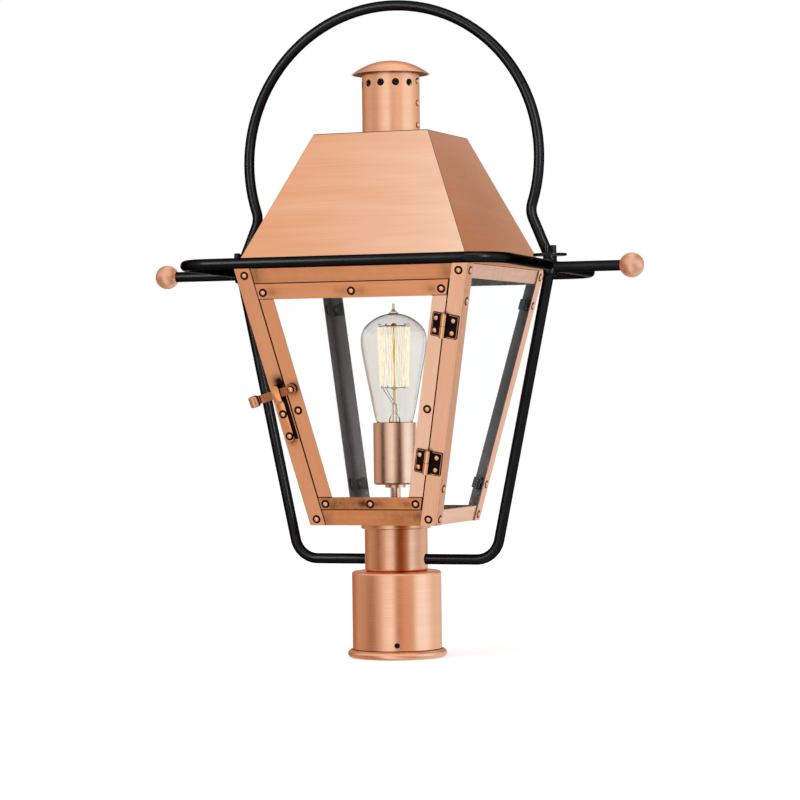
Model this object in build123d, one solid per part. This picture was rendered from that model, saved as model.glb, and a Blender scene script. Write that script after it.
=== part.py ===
from build123d import *
from math import acos, atan, atan2, cos, degrees, hypot, pi, radians, sin, sqrt
import os

# A post lantern of riveted copper sheet in a black rod frame. Sizes are in millimetres.
# +Z is up, the door faces -Y, and the origin is the centre of the fitter's lower rim.

# Fitter: the cup that slips over the mating pipe
pipe_diameter = 76.2
pipe_room = 0.4
fitter_wall = 2.0
fitter_height = 78.0
fitter_shoulder = 2.5
bead_height = 7.5
bead_reach = 4.4
set_screw_diameter = 5.0
set_screw_rise = 13.0
set_screw_count = 3
set_screw_azimuth = 20.0
set_screw_inset = 0.3
hex_key_size = 2.5
hex_key_depth = 0.9

# Collar between the fitter and the cage
collar_diameter = 57.0
collar_height = 43.3
collar_wall = 6.0
collar_flange_diameter = 63.0
collar_flange_thickness = 5.2
collar_flange_round = 1.5
collar_round = 2.0
collar_top_thickness = 4.0

# Cage: a four-sided frame of sheet strips that widens upward
sheet = 1.0
cage_bottom_half = 59.8
cage_top_half = 109.5
cage_height = 228.9
post_flange = 15.0
bottom_rail_height = 13.5
top_rail_height = 12.8
rail_end_gap = 0.2
floor_thickness = 1.5
floor_gap = 0.2

# Rivets
rivet_head_diameter = 5.6
rivet_head_height = 1.9
rivet_diameter = 3.2
rivet_tail = 0.6
rivet_inset = 8.0
bottom_rivet_rise = 5.6
top_rivet_drop = 6.3
hole_room = 0.1

# Glass and its clips
glass_thickness = 2.0
glass_end_gap = 0.3
glass_top_drop = 2.0
clip_sheet = 0.8
clip_length = 10.0
clip_reach = 4.4
door_clip_reach = 2.2
clip_heel = 3.5
clip_room = 0.3
clip_from_end = 32.7

# Door: the whole front face between the posts and the fixed rails
door_gap = 0.7
door_end_gap = 0.8
door_lift = 0.2
stop_lap = 1.6
stop_seat = 5.0
stop_end_gap = 0.2
rail_lap = 3.0
stile_width = 13.4
door_top_rail_height = 13.7
door_bottom_rail_height = 11.3
door_rivet_inset = 5.7
door_top_rivet_rise = 5.9
door_bottom_rivet_rise = 5.3
stile_rivet_rise = 103.1

# Hinges: two-knuckle butt hinges on the right seam
hinge_rise = 56.7
hinge_drop = 53.2
hinge_length = 21.5
hinge_leaf_sheet = 1.0
hinge_leaf_corner = 1.5
post_leaf_reach = 13.5
door_leaf_reach = 11.0
barrel_diameter = 5.2
barrel_lift = 0.3
hinge_pin_diameter = 2.8
hinge_pin_room = 0.05
hinge_pin_head_diameter = 4.2
hinge_pin_head_height = 0.9
knuckle_gap = 0.3
leaf_rivet_pitch = 11.0
post_leaf_rivet_reach = 8.1
door_leaf_rivet_reach = 7.2

# Latch: a lever on the left stile that drops behind a keeper on the left post
latch_rise = 122.3
lever_width = 7.5
lever_thickness = 2.0
lever_gap = 0.3
lever_length = 36.5
lever_droop = 16.5
lever_eye_diameter = 10.0
lever_pin_diameter = 3.2
lever_pin_room = 0.05
lever_pin_head_diameter = 6.4
lever_pin_head_height = 2.1
lever_head_gap = 0.2
knob_diameter = 9.0
knob_length = 10.0
knob_round = 1.5
keeper_width = 7.4
keeper_sheet = 1.2
keeper_inset = 6.4
keeper_below_latch = 46.6
keeper_above_latch = 3.6
keeper_slot_room = 0.4
keeper_step = 4.0
keeper_rest_gap = 0.6
keeper_rivet_rises = (4.7, 24.3)

# Roof and chimney
roof_height = 121.2
roof_top_half = 54.2
chimney_diameter = 52.3
vent_diameter = 6.6
vent_count = 12
vent_drop = 9.0
seam_rivet_drops = (7.0, 27.0, 47.0)
seam_turn = 3.0
cap_diameter = 71.0
cap_rise = 12.5
cap_lift = 55.8
cap_seat_gap = 0.1

# Lamp: a threaded pipe that clamps the stack, and the socket and bulb on it
lamp_pipe_diameter = 9.2
lamp_pipe_bore = 6.0
nut_across_flats = 15.0
nut_height = 4.0
socket_stand = 33.2
socket_disc_diameter = 18.6
socket_disc_height = 2.8
socket_cover_diameter = 39.0
socket_cover_height = 56.0
socket_cover_wall = 1.0
socket_cover_round = 2.0
socket_room = 0.3
socket_recess = 6.0
socket_floor = 20.0
bulb_base_diameter = 26.2
bulb_base_height = 28.0
bulb_base_room = 0.4
bulb_button_diameter = 12.0
bulb_button_height = 2.5
bulb_heel_diameter = 36.8
bulb_heel_rise = 11.5
bulb_belly_radius = 80.0
bulb_diameter = 60.0
bulb_widest_rise = 80.0
bulb_shoulder_radius = 18.0
bulb_crown_rise = 103.5
bulb_tip_rise = 112.5
bulb_tip_diameter = 10.0
bulb_nipple_rise = 107.5
bulb_nipple_diameter = 2.4
bulb_wall = 0.8
mount_foot_diameter = 22.0
mount_press_diameter = 8.0
mount_foot_rise = 9.0
mount_press_rise = 22.0
mount_rod_diameter = 2.4
mount_rod_rise = 95.0
filament_wire = 0.7
filament_strands = 16
filament_low_diameter = 26.0
filament_high_diameter = 29.0
filament_low_rise = 37.0
filament_high_rise = 92.5
lead_spread = 4.0
lead_gap = 0.2

# Rod frame: hoop, square ring, side rods and arms, all of one round bar
rod_diameter = 9.5
rod_room = 0.15
ring_half = 149.0
ring_corner = 30.0
ring_drop = 1.2
ring_lift = 1.7
ring_tilt = 0.95
hoop_inset = 9.0
hoop_centre_rise = 100.8
waist_rise = 51.5
waist_bend = 20.0
hoop_foot_inset = 1.0
side_rod_corner_half = 94.6
side_rod_bend = 22.0
side_rod_rise = 10.5
side_rod_seat = 5.0
ball_reach = 75.2
arm_seat = 5.0
cope_gap = 0.05
ball_diameter = 22.0
hub_diameter = 12.4
hub_round = 2.0
hub_below = 7.5
hub_above = 10.0
hub_plate_diameter = 30.0
hub_plate_thickness = 2.2
stud_diameter = 6.0
stud_pitch = 18.8
stud_height = 7.8
stud_rest_gap = 0.05
stud_chamfer = 0.6
foot_room = 0.3

# Heights and slopes that follow from the sizes above
bore_radius = pipe_diameter / 2 + pipe_room
fitter_radius = bore_radius + fitter_wall
cage_bottom = fitter_height + collar_height
cage_top = cage_bottom + cage_height
roof_top = cage_top + roof_height
ring_height = cage_top - ring_drop
slope = (cage_top_half - cage_bottom_half) / cage_height
lean = atan(slope)
edge_turn = degrees(atan(sin(lean)))
edge_run = Vector(slope, -slope, 1)
sheet_across = sheet / cos(lean)
rivet_hole = rivet_diameter / 2 + hole_room
rivet_grip = 2 * sheet + rivet_tail
clip_step = rivet_hole + hole_room
glass_from_rivet = (clip_step + clip_sheet + clip_room) / cos(atan(sin(lean)))
front = Plane((0, -cage_bottom_half, cage_bottom), (1, 0, 0), (0, -cos(lean), -sin(lean)))


def half_at(z):
    """Half width of the cage's outer surface at height z."""
    return cage_bottom_half + slope * (z - cage_bottom)


def up_face(z):
    """Distance up the sloping face from the cage's lower edge to height z."""
    return (z - cage_bottom) / cos(lean)


def on_front(x, z, out=0.0, turn=0.0):
    """A place on the front face, standing out from its surface and turned about its normal."""
    return front.location * Pos(x, up_face(z), out) * Rot(0, 0, turn)


def to_side(number):
    """The turn from the front face to the right, rear and left faces."""
    return Rot(0, 0, 90 * number)


def face_plate(low, high, half_width, out, thickness):
    """A flat plate across the front face, whose outer surface stands out from the face by out."""
    right_side = [(half_width(low), up_face(low)), (half_width(high), up_face(high))]
    left_side = [(-x, y) for x, y in reversed(right_side)]
    outline = make_face(Polyline(*right_side, *left_side, close=True))
    return front.location * Pos(0, 0, out - thickness) * extrude(outline, thickness)


def drilled(part, places, radius):
    """The part with a round hole through it at each place."""
    depth = 4 * rivet_grip
    return part - [place * Cylinder(radius, depth) for place in places]


def round_solid(*edges):
    """A solid of revolution about Z from a profile drawn as radius and height."""
    return revolve(Plane.XZ * make_face(edges), Axis.Z)


def headed_pin(diameter, length, head_diameter, head_height):
    """A round-headed pin whose head seats on z = 0 and whose shank runs down from there."""
    shank, head = diameter / 2, head_diameter / 2
    return round_solid(
        Line((0, -length), (shank, -length)),
        Line((shank, -length), (shank, 0)),
        Line((shank, 0), (head, 0)),
        TangentArc((0, head_height), (head, 0), tangent=(1, 0)),
        Line((0, head_height), (0, -length)),
    )


def bar(path):
    """A round bar of the frame's diameter along a path."""
    section = Plane(path @ 0, z_dir=path % 0) * Circle(rod_diameter / 2)
    return sweep(section, path=path)


def hex_nut(hole_radius):
    """A hexagon nut on the lamp pipe, standing on z = 0."""
    blank = extrude(RegularPolygon(nut_across_flats / 2, 6, major_radius=False), nut_height)
    return blank - Cylinder(hole_radius, 4 * nut_height)


# Where the rivets go

rail_rivet_heights = (cage_bottom + bottom_rivet_rise, cage_top - top_rivet_drop)
clip_heights = (cage_bottom + clip_from_end, cage_top - clip_from_end)
hinge_heights = (cage_bottom + hinge_rise, cage_top - hinge_drop)
latch_height = cage_bottom + latch_rise
door_low = cage_bottom + bottom_rail_height + door_end_gap
door_high = cage_top - top_rail_height - door_end_gap
door_top_rivets = door_high - door_top_rail_height + door_top_rivet_rise
door_bottom_rivets = door_low + door_bottom_rivet_rise
stile_rivets = cage_bottom + stile_rivet_rise


def door_half(z):
    """Half width of the door at height z."""
    return half_at(z) - post_flange - door_gap


def seam(z):
    """Middle of the gap between the door and the post at height z."""
    return half_at(z) - post_flange - door_gap / 2


def flange_rivets(side, heights):
    """Rivet places down the middle of both post flanges on one face."""
    return [
        to_side(side) * on_front(hand * (half_at(z) - rivet_inset), z)
        for hand in (-1, 1)
        for z in heights
    ]


def hinge_place(z):
    """Hinge frame on the right seam: its Y runs up the seam, and its Z stands out of the face."""
    return on_front(seam(z), z, turn=-edge_turn)


def keeper_place(z):
    """Keeper frame on the left post: its Y runs up the post, and its Z stands out of the face."""
    return on_front(keeper_inset - half_at(z), z, turn=edge_turn)


def leaf_rivets(reach, seat):
    """Rivet places on one leaf of both hinges, at a reach from the barrel and a height above the posts."""
    return [
        hinge_place(z) * Pos(reach, hand * leaf_rivet_pitch / 2, seat + hinge_leaf_sheet)
        for z in hinge_heights
        for hand in (-1, 1)
    ]


edge_length = edge_run.length
keeper_low = latch_height - keeper_below_latch
keeper_high = latch_height + keeper_above_latch
rail_places = [place for side in range(4) for place in flange_rivets(side, rail_rivet_heights)]
clip_places = [place for side in (1, 2, 3) for place in flange_rivets(side, clip_heights)]
post_leaf_places = leaf_rivets(post_leaf_rivet_reach, 0)
door_leaf_places = leaf_rivets(-door_leaf_rivet_reach, door_lift)
keeper_places = [keeper_place(keeper_low + rise) * Pos(0, 0, keeper_sheet) for rise in keeper_rivet_rises]
stile_rivet_half = door_half(stile_rivets) - door_rivet_inset
stile_places = [on_front(hand * stile_rivet_half, stile_rivets, door_lift) for hand in (-1, 1)]
door_corner_places = [
    on_front(hand * (door_half(z) - door_rivet_inset), z, door_lift + sheet)
    for z in (door_bottom_rivets, door_top_rivets)
    for hand in (-1, 1)
]
door_middle_places = [on_front(0, z, door_lift + sheet) for z in (door_bottom_rivets, door_top_rivets)]
latch_place = on_front(door_rivet_inset - door_half(latch_height), latch_height, door_lift)

parts = {}

# Fitter cup, with a rolled bead at its mouth
pipe_hole = lamp_pipe_diameter / 2 + hole_room
bead_middle = fitter_radius + bead_reach - bead_height / 2
fitter_cup = round_solid(
    Line((bore_radius, 0), (bead_middle, 0)),
    ThreePointArc(
        (bead_middle, 0),
        (fitter_radius + bead_reach, bead_height / 2),
        (bead_middle, bead_height),
    ),
    Line((bead_middle, bead_height), (fitter_radius, bead_height)),
    Line((fitter_radius, bead_height), (fitter_radius, fitter_height - fitter_shoulder)),
    RadiusArc(
        (fitter_radius, fitter_height - fitter_shoulder),
        (fitter_radius - fitter_shoulder, fitter_height),
        -fitter_shoulder,
    ),
    Line((fitter_radius - fitter_shoulder, fitter_height), (pipe_hole, fitter_height)),
    Line((pipe_hole, fitter_height), (pipe_hole, fitter_height - fitter_wall)),
    Line((pipe_hole, fitter_height - fitter_wall), (bore_radius, fitter_height - fitter_wall)),
    Line((bore_radius, fitter_height - fitter_wall), (bore_radius, 0)),
)
set_screw_length = fitter_wall - 2 * set_screw_inset
set_screw = Cylinder(set_screw_diameter / 2, set_screw_length)
set_screw -= Pos(0, 0, set_screw_length / 2 - hex_key_depth) * extrude(
    RegularPolygon(hex_key_size / 2, 6, major_radius=False), set_screw_length
)
set_screw_places = [
    Rot(0, 0, set_screw_azimuth + 360 * number / set_screw_count)
    * Pos(0, -bore_radius - fitter_wall / 2, set_screw_rise)
    * Rot(90, 0, 0)
    for number in range(set_screw_count)
]
parts["fitter_cup"] = drilled(fitter_cup, set_screw_places, set_screw_diameter / 2 + hole_room)
parts["fitter_set_screws"] = [place * set_screw for place in set_screw_places]

# Collar, a hollow cup turned over, with a flange that carries the cage
collar_radius = collar_diameter / 2
flange_radius = collar_flange_diameter / 2
flange_low = cage_bottom - collar_flange_thickness
collar_roof = cage_bottom - collar_top_thickness
collar_inside = collar_radius - collar_wall
collar = round_solid(
    Line((collar_inside, fitter_height), (collar_radius - collar_round, fitter_height)),
    RadiusArc(
        (collar_radius - collar_round, fitter_height),
        (collar_radius, fitter_height + collar_round),
        -collar_round,
    ),
    Line((collar_radius, fitter_height + collar_round), (collar_radius, flange_low)),
    Line((collar_radius, flange_low), (flange_radius - collar_flange_round, flange_low)),
    RadiusArc(
        (flange_radius - collar_flange_round, flange_low),
        (flange_radius, flange_low + collar_flange_round),
        -collar_flange_round,
    ),
    Line((flange_radius, flange_low + collar_flange_round), (flange_radius, cage_bottom)),
    Line((flange_radius, cage_bottom), (pipe_hole, cage_bottom)),
    Line((pipe_hole, cage_bottom), (pipe_hole, collar_roof)),
    Line((pipe_hole, collar_roof), (collar_inside, collar_roof)),
    Line((collar_inside, collar_roof), (collar_inside, fitter_height)),
)
side_rod_height = fitter_height + side_rod_rise
rod_hole = rod_diameter / 2 + rod_room
rod_socket = Rot(0, 90, 0) * Cylinder(rod_hole, 2 * side_rod_seat)
parts["collar"] = collar - [Pos(hand * collar_radius, 0, side_rod_height) * rod_socket for hand in (-1, 1)]

# Cage floor, the plate that the lamp pipe clamps to the collar
floor_half = cage_bottom_half - 2 * sheet_across - floor_gap
floor_top = cage_bottom + floor_thickness
cage_floor = Pos(0, 0, cage_bottom) * extrude(Rectangle(2 * floor_half, 2 * floor_half), floor_thickness)
parts["cage_floor"] = cage_floor - Pos(0, 0, cage_bottom) * Cylinder(pipe_hole, 4 * floor_thickness)

# Corner posts: strips folded to an L along each corner of the cage
fold = cage_bottom_half - sheet_across
flange_edge = cage_bottom_half - post_flange
angle_section = Polyline(
    (cage_bottom_half, -cage_bottom_half),
    (cage_bottom_half, -flange_edge),
    (fold, -flange_edge),
    (fold, -fold),
    (flange_edge, -fold),
    (flange_edge, -cage_bottom_half),
    close=True,
)
post = extrude(
    Pos(0, 0, cage_bottom) * make_face(angle_section), cage_height * edge_length, dir=edge_run.normalized()
)
post_names = ("front_right", "rear_right", "rear_left", "front_left")
post_holes = rail_places + clip_places + post_leaf_places + keeper_places
for number, name in enumerate(post_names):
    parts["corner_post_" + name] = drilled(to_side(number) * post, post_holes, rivet_hole)


# Fixed rails, riveted behind the post flanges at the foot and head of each face
def rail_half(z):
    """Half width of a fixed rail at height z, short of the rails on the faces beside it."""
    return half_at(z) - 2 * sheet_across - rail_end_gap


side_names = ("front", "right", "rear", "left")
bottom_rail = face_plate(cage_bottom, cage_bottom + bottom_rail_height, rail_half, -sheet, sheet)
top_rail_edge = cage_top - 2 * sheet * sin(lean)
top_rail = face_plate(cage_top - top_rail_height, top_rail_edge, rail_half, -sheet, sheet)
bottom_rail = drilled(bottom_rail, flange_rivets(0, rail_rivet_heights), rivet_hole)
top_rail = drilled(top_rail, flange_rivets(0, rail_rivet_heights), rivet_hole)
for number, name in enumerate(side_names):
    parts["bottom_rail_" + name] = to_side(number) * bottom_rail
    parts["top_rail_" + name] = to_side(number) * top_rail

# The front rails reach up and down behind the door, and a strip on each post stops its stiles
bottom_stop = cage_bottom + bottom_rail_height
top_stop = cage_top - top_rail_height
parts["bottom_rail_front"] += face_plate(bottom_stop, bottom_stop + rail_lap, rail_half, -sheet, sheet)
parts["top_rail_front"] += face_plate(top_stop - rail_lap, top_stop, rail_half, -sheet, sheet)
stop_low = bottom_stop + rail_lap + stop_end_gap
stop_high = top_stop - rail_lap - stop_end_gap
stop_outside = post_flange - stop_seat
stop_inside = post_flange + door_gap + stop_lap
stop_outline = Polyline(
    (half_at(stop_low) - stop_inside, up_face(stop_low)),
    (half_at(stop_low) - stop_outside, up_face(stop_low)),
    (half_at(stop_high) - stop_outside, up_face(stop_high)),
    (half_at(stop_high) - stop_inside, up_face(stop_high)),
    close=True,
)
door_stop = front.location * Pos(0, 0, -2 * sheet) * extrude(make_face(stop_outline), sheet)
parts["door_stops"] = [door_stop, mirror(door_stop, Plane.YZ)]


# Glass in the three fixed faces, behind the rails, held at its edges by clips
def glass_half(z):
    """Half width of a fixed pane at height z, just inside its clips' rivets."""
    return half_at(z) - rivet_inset - glass_from_rivet


pane_low = floor_top + glass_end_gap
pane_high = cage_top - glass_top_drop
pane = face_plate(pane_low, pane_high, glass_half, -2 * sheet, glass_thickness)
for number in (1, 2, 3):
    parts["glass_" + side_names[number]] = to_side(number) * pane


def glass_clip(drop, reach):
    """A stepped clip with its heel under a rivet at z = 0 and its toe behind the glass, a drop below."""
    step_end = clip_step + clip_sheet
    toe = drop + clip_sheet
    outline = Polyline(
        (-clip_heel, 0),
        (-clip_heel, -clip_sheet),
        (clip_step, -clip_sheet),
        (clip_step, -toe),
        (step_end + reach, -toe),
        (step_end + reach, -drop),
        (step_end, -drop),
        (step_end, 0),
        close=True,
    )
    clip = extrude(Plane.XZ * make_face(outline), clip_length / 2, both=True)
    return clip - Cylinder(rivet_hole, 4 * clip_sheet)


fixed_clip = glass_clip(sheet + glass_thickness, clip_reach)
parts["glass_clips"] = [
    to_side(side) * on_front(hand * (half_at(z) - rivet_inset), z, -sheet, turn) * fixed_clip
    for side in (1, 2, 3)
    for hand, turn in ((-1, edge_turn), (1, 180 - edge_turn))
    for z in clip_heights
]
rivet = headed_pin(rivet_diameter, rivet_grip, rivet_head_diameter, rivet_head_height)
parts["cage_rivets"] = [place * rivet for place in post_holes]

# Roof: a hipped shell with a flat top that opens into the chimney
roof_turn = degrees(atan((cage_top_half - roof_top_half) / roof_height))
roof_sheet_across = sheet / cos(atan((cage_top_half - roof_top_half) / roof_height))
roof_inside_half = cage_top_half - roof_sheet_across
roof_outside = Pos(0, 0, cage_top) * Rectangle(2 * cage_top_half, 2 * cage_top_half)
roof_inside = Pos(0, 0, cage_top) * Rectangle(2 * roof_inside_half, 2 * roof_inside_half)
roof_shell = extrude(roof_outside, roof_height, taper=roof_turn)
roof_shell -= extrude(roof_inside, roof_height - sheet, taper=roof_turn)
chimney_radius = chimney_diameter / 2
parts["roof_shell"] = roof_shell - Pos(0, 0, roof_top) * Cylinder(chimney_radius - sheet, 4 * sheet)

# Chimney cap: a shallow dome
cap_rim = roof_top + cap_lift
cap_sphere = ((cap_diameter / 2) ** 2 + cap_rise**2) / (2 * cap_rise)
cap_centre = cap_rim + cap_rise - cap_sphere


def cap_height(radius, sphere):
    """Height of a dome surface at a radius from the lantern's axis."""
    return cap_centre + sqrt(sphere**2 - radius**2)


cap_inside = sqrt((cap_sphere - sheet) ** 2 - (cap_rim - cap_centre) ** 2)
parts["chimney_cap"] = round_solid(
    TangentArc((0, cap_centre + cap_sphere), (cap_diameter / 2, cap_rim), tangent=(1, 0)),
    Line((cap_diameter / 2, cap_rim), (cap_inside, cap_rim)),
    TangentArc((0, cap_centre + cap_sphere - sheet), (cap_inside, cap_rim), tangent=(1, 0)),
    Line((0, cap_centre + cap_sphere - sheet), (0, cap_centre + cap_sphere)),
)

# Chimney tube, with a ring of vents below the cap and a riveted seam in place of one vent
chimney_top = cap_height(chimney_radius, cap_sphere - sheet) - cap_seat_gap
chimney_length = chimney_top - roof_top
on_axis = (Align.CENTER, Align.CENTER, Align.MIN)
chimney_tube = Pos(0, 0, roof_top) * Cylinder(chimney_radius, chimney_length, align=on_axis)
chimney_tube -= Pos(0, 0, roof_top) * Cylinder(chimney_radius - sheet, chimney_length, align=on_axis)
seam_side = vent_count // 4


def on_chimney(turn, z):
    """A place on the tube's wall, with Z pointing out of it, turned from the front towards +X."""
    return Rot(0, 0, turn) * Pos(0, -chimney_radius, z) * Rot(90, 0, 0)


vent_pitch = 360 / vent_count
vent_height = cap_rim - vent_drop
vent_turns = [vent_pitch * number for number in range(vent_count) if number != seam_side]
vent_places = [on_chimney(turn, vent_height) for turn in vent_turns]
seam_azimuth = vent_pitch * seam_side - seam_turn
seam_places = [on_chimney(seam_azimuth, cap_rim - drop) for drop in seam_rivet_drops]
chimney_tube = drilled(chimney_tube, vent_places, vent_diameter / 2)
parts["chimney_tube"] = drilled(chimney_tube, seam_places, rivet_hole)
seam_rivet = headed_pin(rivet_diameter, sheet + rivet_tail, rivet_head_diameter, rivet_head_height)
parts["chimney_rivets"] = [place * seam_rivet for place in seam_places]

# Door frame: two stiles with a rail lapped over their ends at the top and bottom
stile_low = (door_half(door_low) - stile_width, up_face(door_low))
stile_high = (door_half(door_high) - stile_width, up_face(door_high))
stile_outline = Polyline(
    stile_low,
    (door_half(door_low), up_face(door_low)),
    (door_half(door_high), up_face(door_high)),
    stile_high,
    close=True,
)
right_stile = front.location * Pos(0, 0, door_lift - sheet) * extrude(make_face(stile_outline), sheet)
door_holes = stile_places + door_corner_places + door_middle_places + door_leaf_places
parts["door_stile_right"] = drilled(right_stile, door_holes, rivet_hole)
left_stile = drilled(mirror(right_stile, Plane.YZ), door_holes, rivet_hole)
parts["door_stile_left"] = drilled(left_stile, [latch_place], lever_pin_diameter / 2 + hole_room)
rail_front = door_lift + sheet
door_top_rail = face_plate(door_high - door_top_rail_height, door_high, door_half, rail_front, sheet)
door_bottom_rail = face_plate(door_low, door_low + door_bottom_rail_height, door_half, rail_front, sheet)
parts["door_top_rail"] = drilled(door_top_rail, door_holes, rivet_hole)
parts["door_bottom_rail"] = drilled(door_bottom_rail, door_holes, rivet_hole)
parts["door_rivets"] = [place * rivet for place in door_holes]


# Door glass and its clips, one on each side of the frame
def door_glass_half(z):
    """Half width of the door's pane at height z."""
    return door_half(z) - door_rivet_inset - glass_from_rivet


door_pane_low = door_bottom_rivets + glass_from_rivet
door_pane_high = door_top_rivets - glass_from_rivet
pane_front = door_lift - sheet
parts["door_glass"] = face_plate(door_pane_low, door_pane_high, door_glass_half, pane_front, glass_thickness)
stile_clip = glass_clip(glass_thickness, door_clip_reach)
rail_clip = glass_clip(sheet + glass_thickness, door_clip_reach)
parts["door_glass_clips"] = [
    stile_places[0] * Pos(0, 0, -sheet) * Rot(0, 0, edge_turn) * stile_clip,
    stile_places[1] * Pos(0, 0, -sheet) * Rot(0, 0, 180 - edge_turn) * stile_clip,
    door_middle_places[0] * Pos(0, 0, -sheet) * Rot(0, 0, 90) * rail_clip,
    door_middle_places[1] * Pos(0, 0, -sheet) * Rot(0, 0, -90) * rail_clip,
]

# Hinges: the door leaf has the upper knuckle, the post leaf the lower one, on one pin
barrel_radius = barrel_diameter / 2
barrel_out = barrel_radius + door_lift + barrel_lift
knuckle_length = (hinge_length - knuckle_gap) / 2
leaf_start = sqrt(barrel_radius**2 - (barrel_out - door_lift - hinge_leaf_sheet) ** 2) + knuckle_gap


def hinge_leaf(hand, knuckle_hand, reach, rivet_reach, seat):
    """A leaf to one side of the seam with one knuckle of the barrel, in the hinge's frame."""
    width = reach - leaf_start
    rounded = RectangleRounded(width, hinge_length, hinge_leaf_corner)
    outline = Pos(hand * (leaf_start + width / 2), 0) * rounded
    square_side = Pos(hand * (leaf_start + width / 4), 0) * Rectangle(width / 2, hinge_length)
    leaf = extrude(outline + square_side, hinge_leaf_sheet)
    knuckle_middle = knuckle_hand * (knuckle_gap + knuckle_length) / 2
    root_width = leaf_start + width / 4
    root = Pos(hand * root_width / 2, knuckle_middle) * Rectangle(root_width, knuckle_length)
    leaf += extrude(root, hinge_leaf_sheet)
    at_barrel = Pos(0, knuckle_middle, barrel_out - seat) * Rot(90, 0, 0)
    leaf += at_barrel * Cylinder(barrel_radius, knuckle_length)
    leaf -= at_barrel * Cylinder(hinge_pin_diameter / 2 + hinge_pin_room, 2 * knuckle_length)
    leaf -= [
        Pos(hand * rivet_reach, end * leaf_rivet_pitch / 2) * Cylinder(rivet_hole, 4 * hinge_leaf_sheet)
        for end in (-1, 1)
    ]
    return Pos(0, 0, seat) * leaf


def hinge_pin():
    """A pin through both knuckles, with a domed head at each end, in the hinge's frame."""
    pin = Rot(90, 0, 0) * Cylinder(hinge_pin_diameter / 2, hinge_length)
    head = headed_pin(hinge_pin_diameter, hinge_length / 4, hinge_pin_head_diameter, hinge_pin_head_height)
    pin += Pos(0, hinge_length / 2 + hinge_pin_room, 0) * Rot(-90, 0, 0) * head
    pin += Pos(0, -hinge_length / 2 - hinge_pin_room, 0) * Rot(90, 0, 0) * head
    return Pos(0, 0, barrel_out) * pin


post_leaf = hinge_leaf(1, -1, post_leaf_reach, post_leaf_rivet_reach, 0)
door_leaf = hinge_leaf(-1, 1, door_leaf_reach, door_leaf_rivet_reach, door_lift)
parts["hinge_post_leaves"] = [hinge_place(z) * post_leaf for z in hinge_heights]
parts["hinge_door_leaves"] = [hinge_place(z) * door_leaf for z in hinge_heights]
parts["hinge_pins"] = [hinge_place(z) * hinge_pin() for z in hinge_heights]

# Latch lever, with an eye on its pin and a rolled finger grip at its free end
lever_frame = latch_place * Pos(0, 0, lever_gap) * Rot(0, 0, 180 + lever_droop)
lever_outline = Pos(lever_length / 2, 0) * Rectangle(lever_length, lever_width)
lever_outline += Circle(lever_eye_diameter / 2)
lever = extrude(lever_outline, lever_thickness)
knob = Rot(90, 0, 0) * Cylinder(knob_diameter / 2, knob_length)
knob = fillet(knob.edges().filter_by(GeomType.CIRCLE), knob_round)
lever += Pos(lever_length, 0, knob_diameter / 2) * knob
lever -= Cylinder(lever_pin_diameter / 2 + lever_pin_room, 4 * lever_thickness)
parts["latch_lever"] = lever_frame * lever
pin_seat = lever_gap + lever_thickness + lever_head_gap
pin_length = pin_seat + sheet + rivet_tail
lever_pin = headed_pin(lever_pin_diameter, pin_length, lever_pin_head_diameter, lever_pin_head_height)
parts["latch_pin"] = latch_place * Pos(0, 0, pin_seat) * lever_pin

# Latch keeper: a strip riveted to the post, stepped outward so that the lever drops in behind it
keeper_length = (keeper_high - keeper_low) * edge_length
keeper_middle = half_at(latch_height) - keeper_inset
lever_run = keeper_middle - (door_half(latch_height) - door_rivet_inset)
droop = lever_droop * pi / 180
lever_under = (lever_run * sin(droop) + lever_width / 2) / cos(droop)
tilt_room = keeper_width / 2 * (sin(droop) / cos(droop) - sin(lean))
shelf = (keeper_below_latch - lever_under * cos(lean)) * edge_length - keeper_rest_gap - tilt_room
slot = door_lift + lever_gap + lever_thickness + keeper_slot_room
keeper_profile = Polyline(
    (0, 0),
    (0, keeper_sheet),
    (shelf - keeper_step, keeper_sheet),
    (shelf - keeper_sheet, slot + keeper_sheet),
    (keeper_length, slot + keeper_sheet),
    (keeper_length, slot),
    (shelf, slot),
    (shelf, 0),
    close=True,
)
keeper = extrude(Plane.YZ * make_face(keeper_profile), keeper_width / 2, both=True)
keeper_outline = Pos(0, keeper_length / 2) * SlotOverall(keeper_length, keeper_width, rotation=90)
keeper &= extrude(keeper_outline, 2 * (slot + keeper_sheet))
parts["latch_keeper"] = drilled(keeper_place(keeper_low) * keeper, keeper_places, rivet_hole)

# Lamp pipe, set in the fitter's top, and the nuts that clamp collar and floor together
socket_base = floor_top + socket_stand
pipe_low = fitter_height - fitter_wall
cover_floor = socket_base + socket_cover_wall
pipe_length = cover_floor - pipe_low
lamp_pipe = Cylinder(lamp_pipe_diameter / 2, pipe_length, align=on_axis)
lamp_pipe -= Cylinder(lamp_pipe_bore / 2, pipe_length, align=on_axis)
parts["lamp_pipe"] = Pos(0, 0, pipe_low) * lamp_pipe
socket_disc = Cylinder(socket_disc_diameter / 2, socket_disc_height, align=on_axis)
socket_disc -= Cylinder(pipe_hole, 4 * socket_disc_height)
parts["pipe_nuts"] = [
    Pos(0, 0, collar_roof - nut_height) * hex_nut(pipe_hole),
    Pos(0, 0, floor_top) * hex_nut(pipe_hole),
    Pos(0, 0, socket_base - socket_disc_height) * socket_disc,
]

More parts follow.
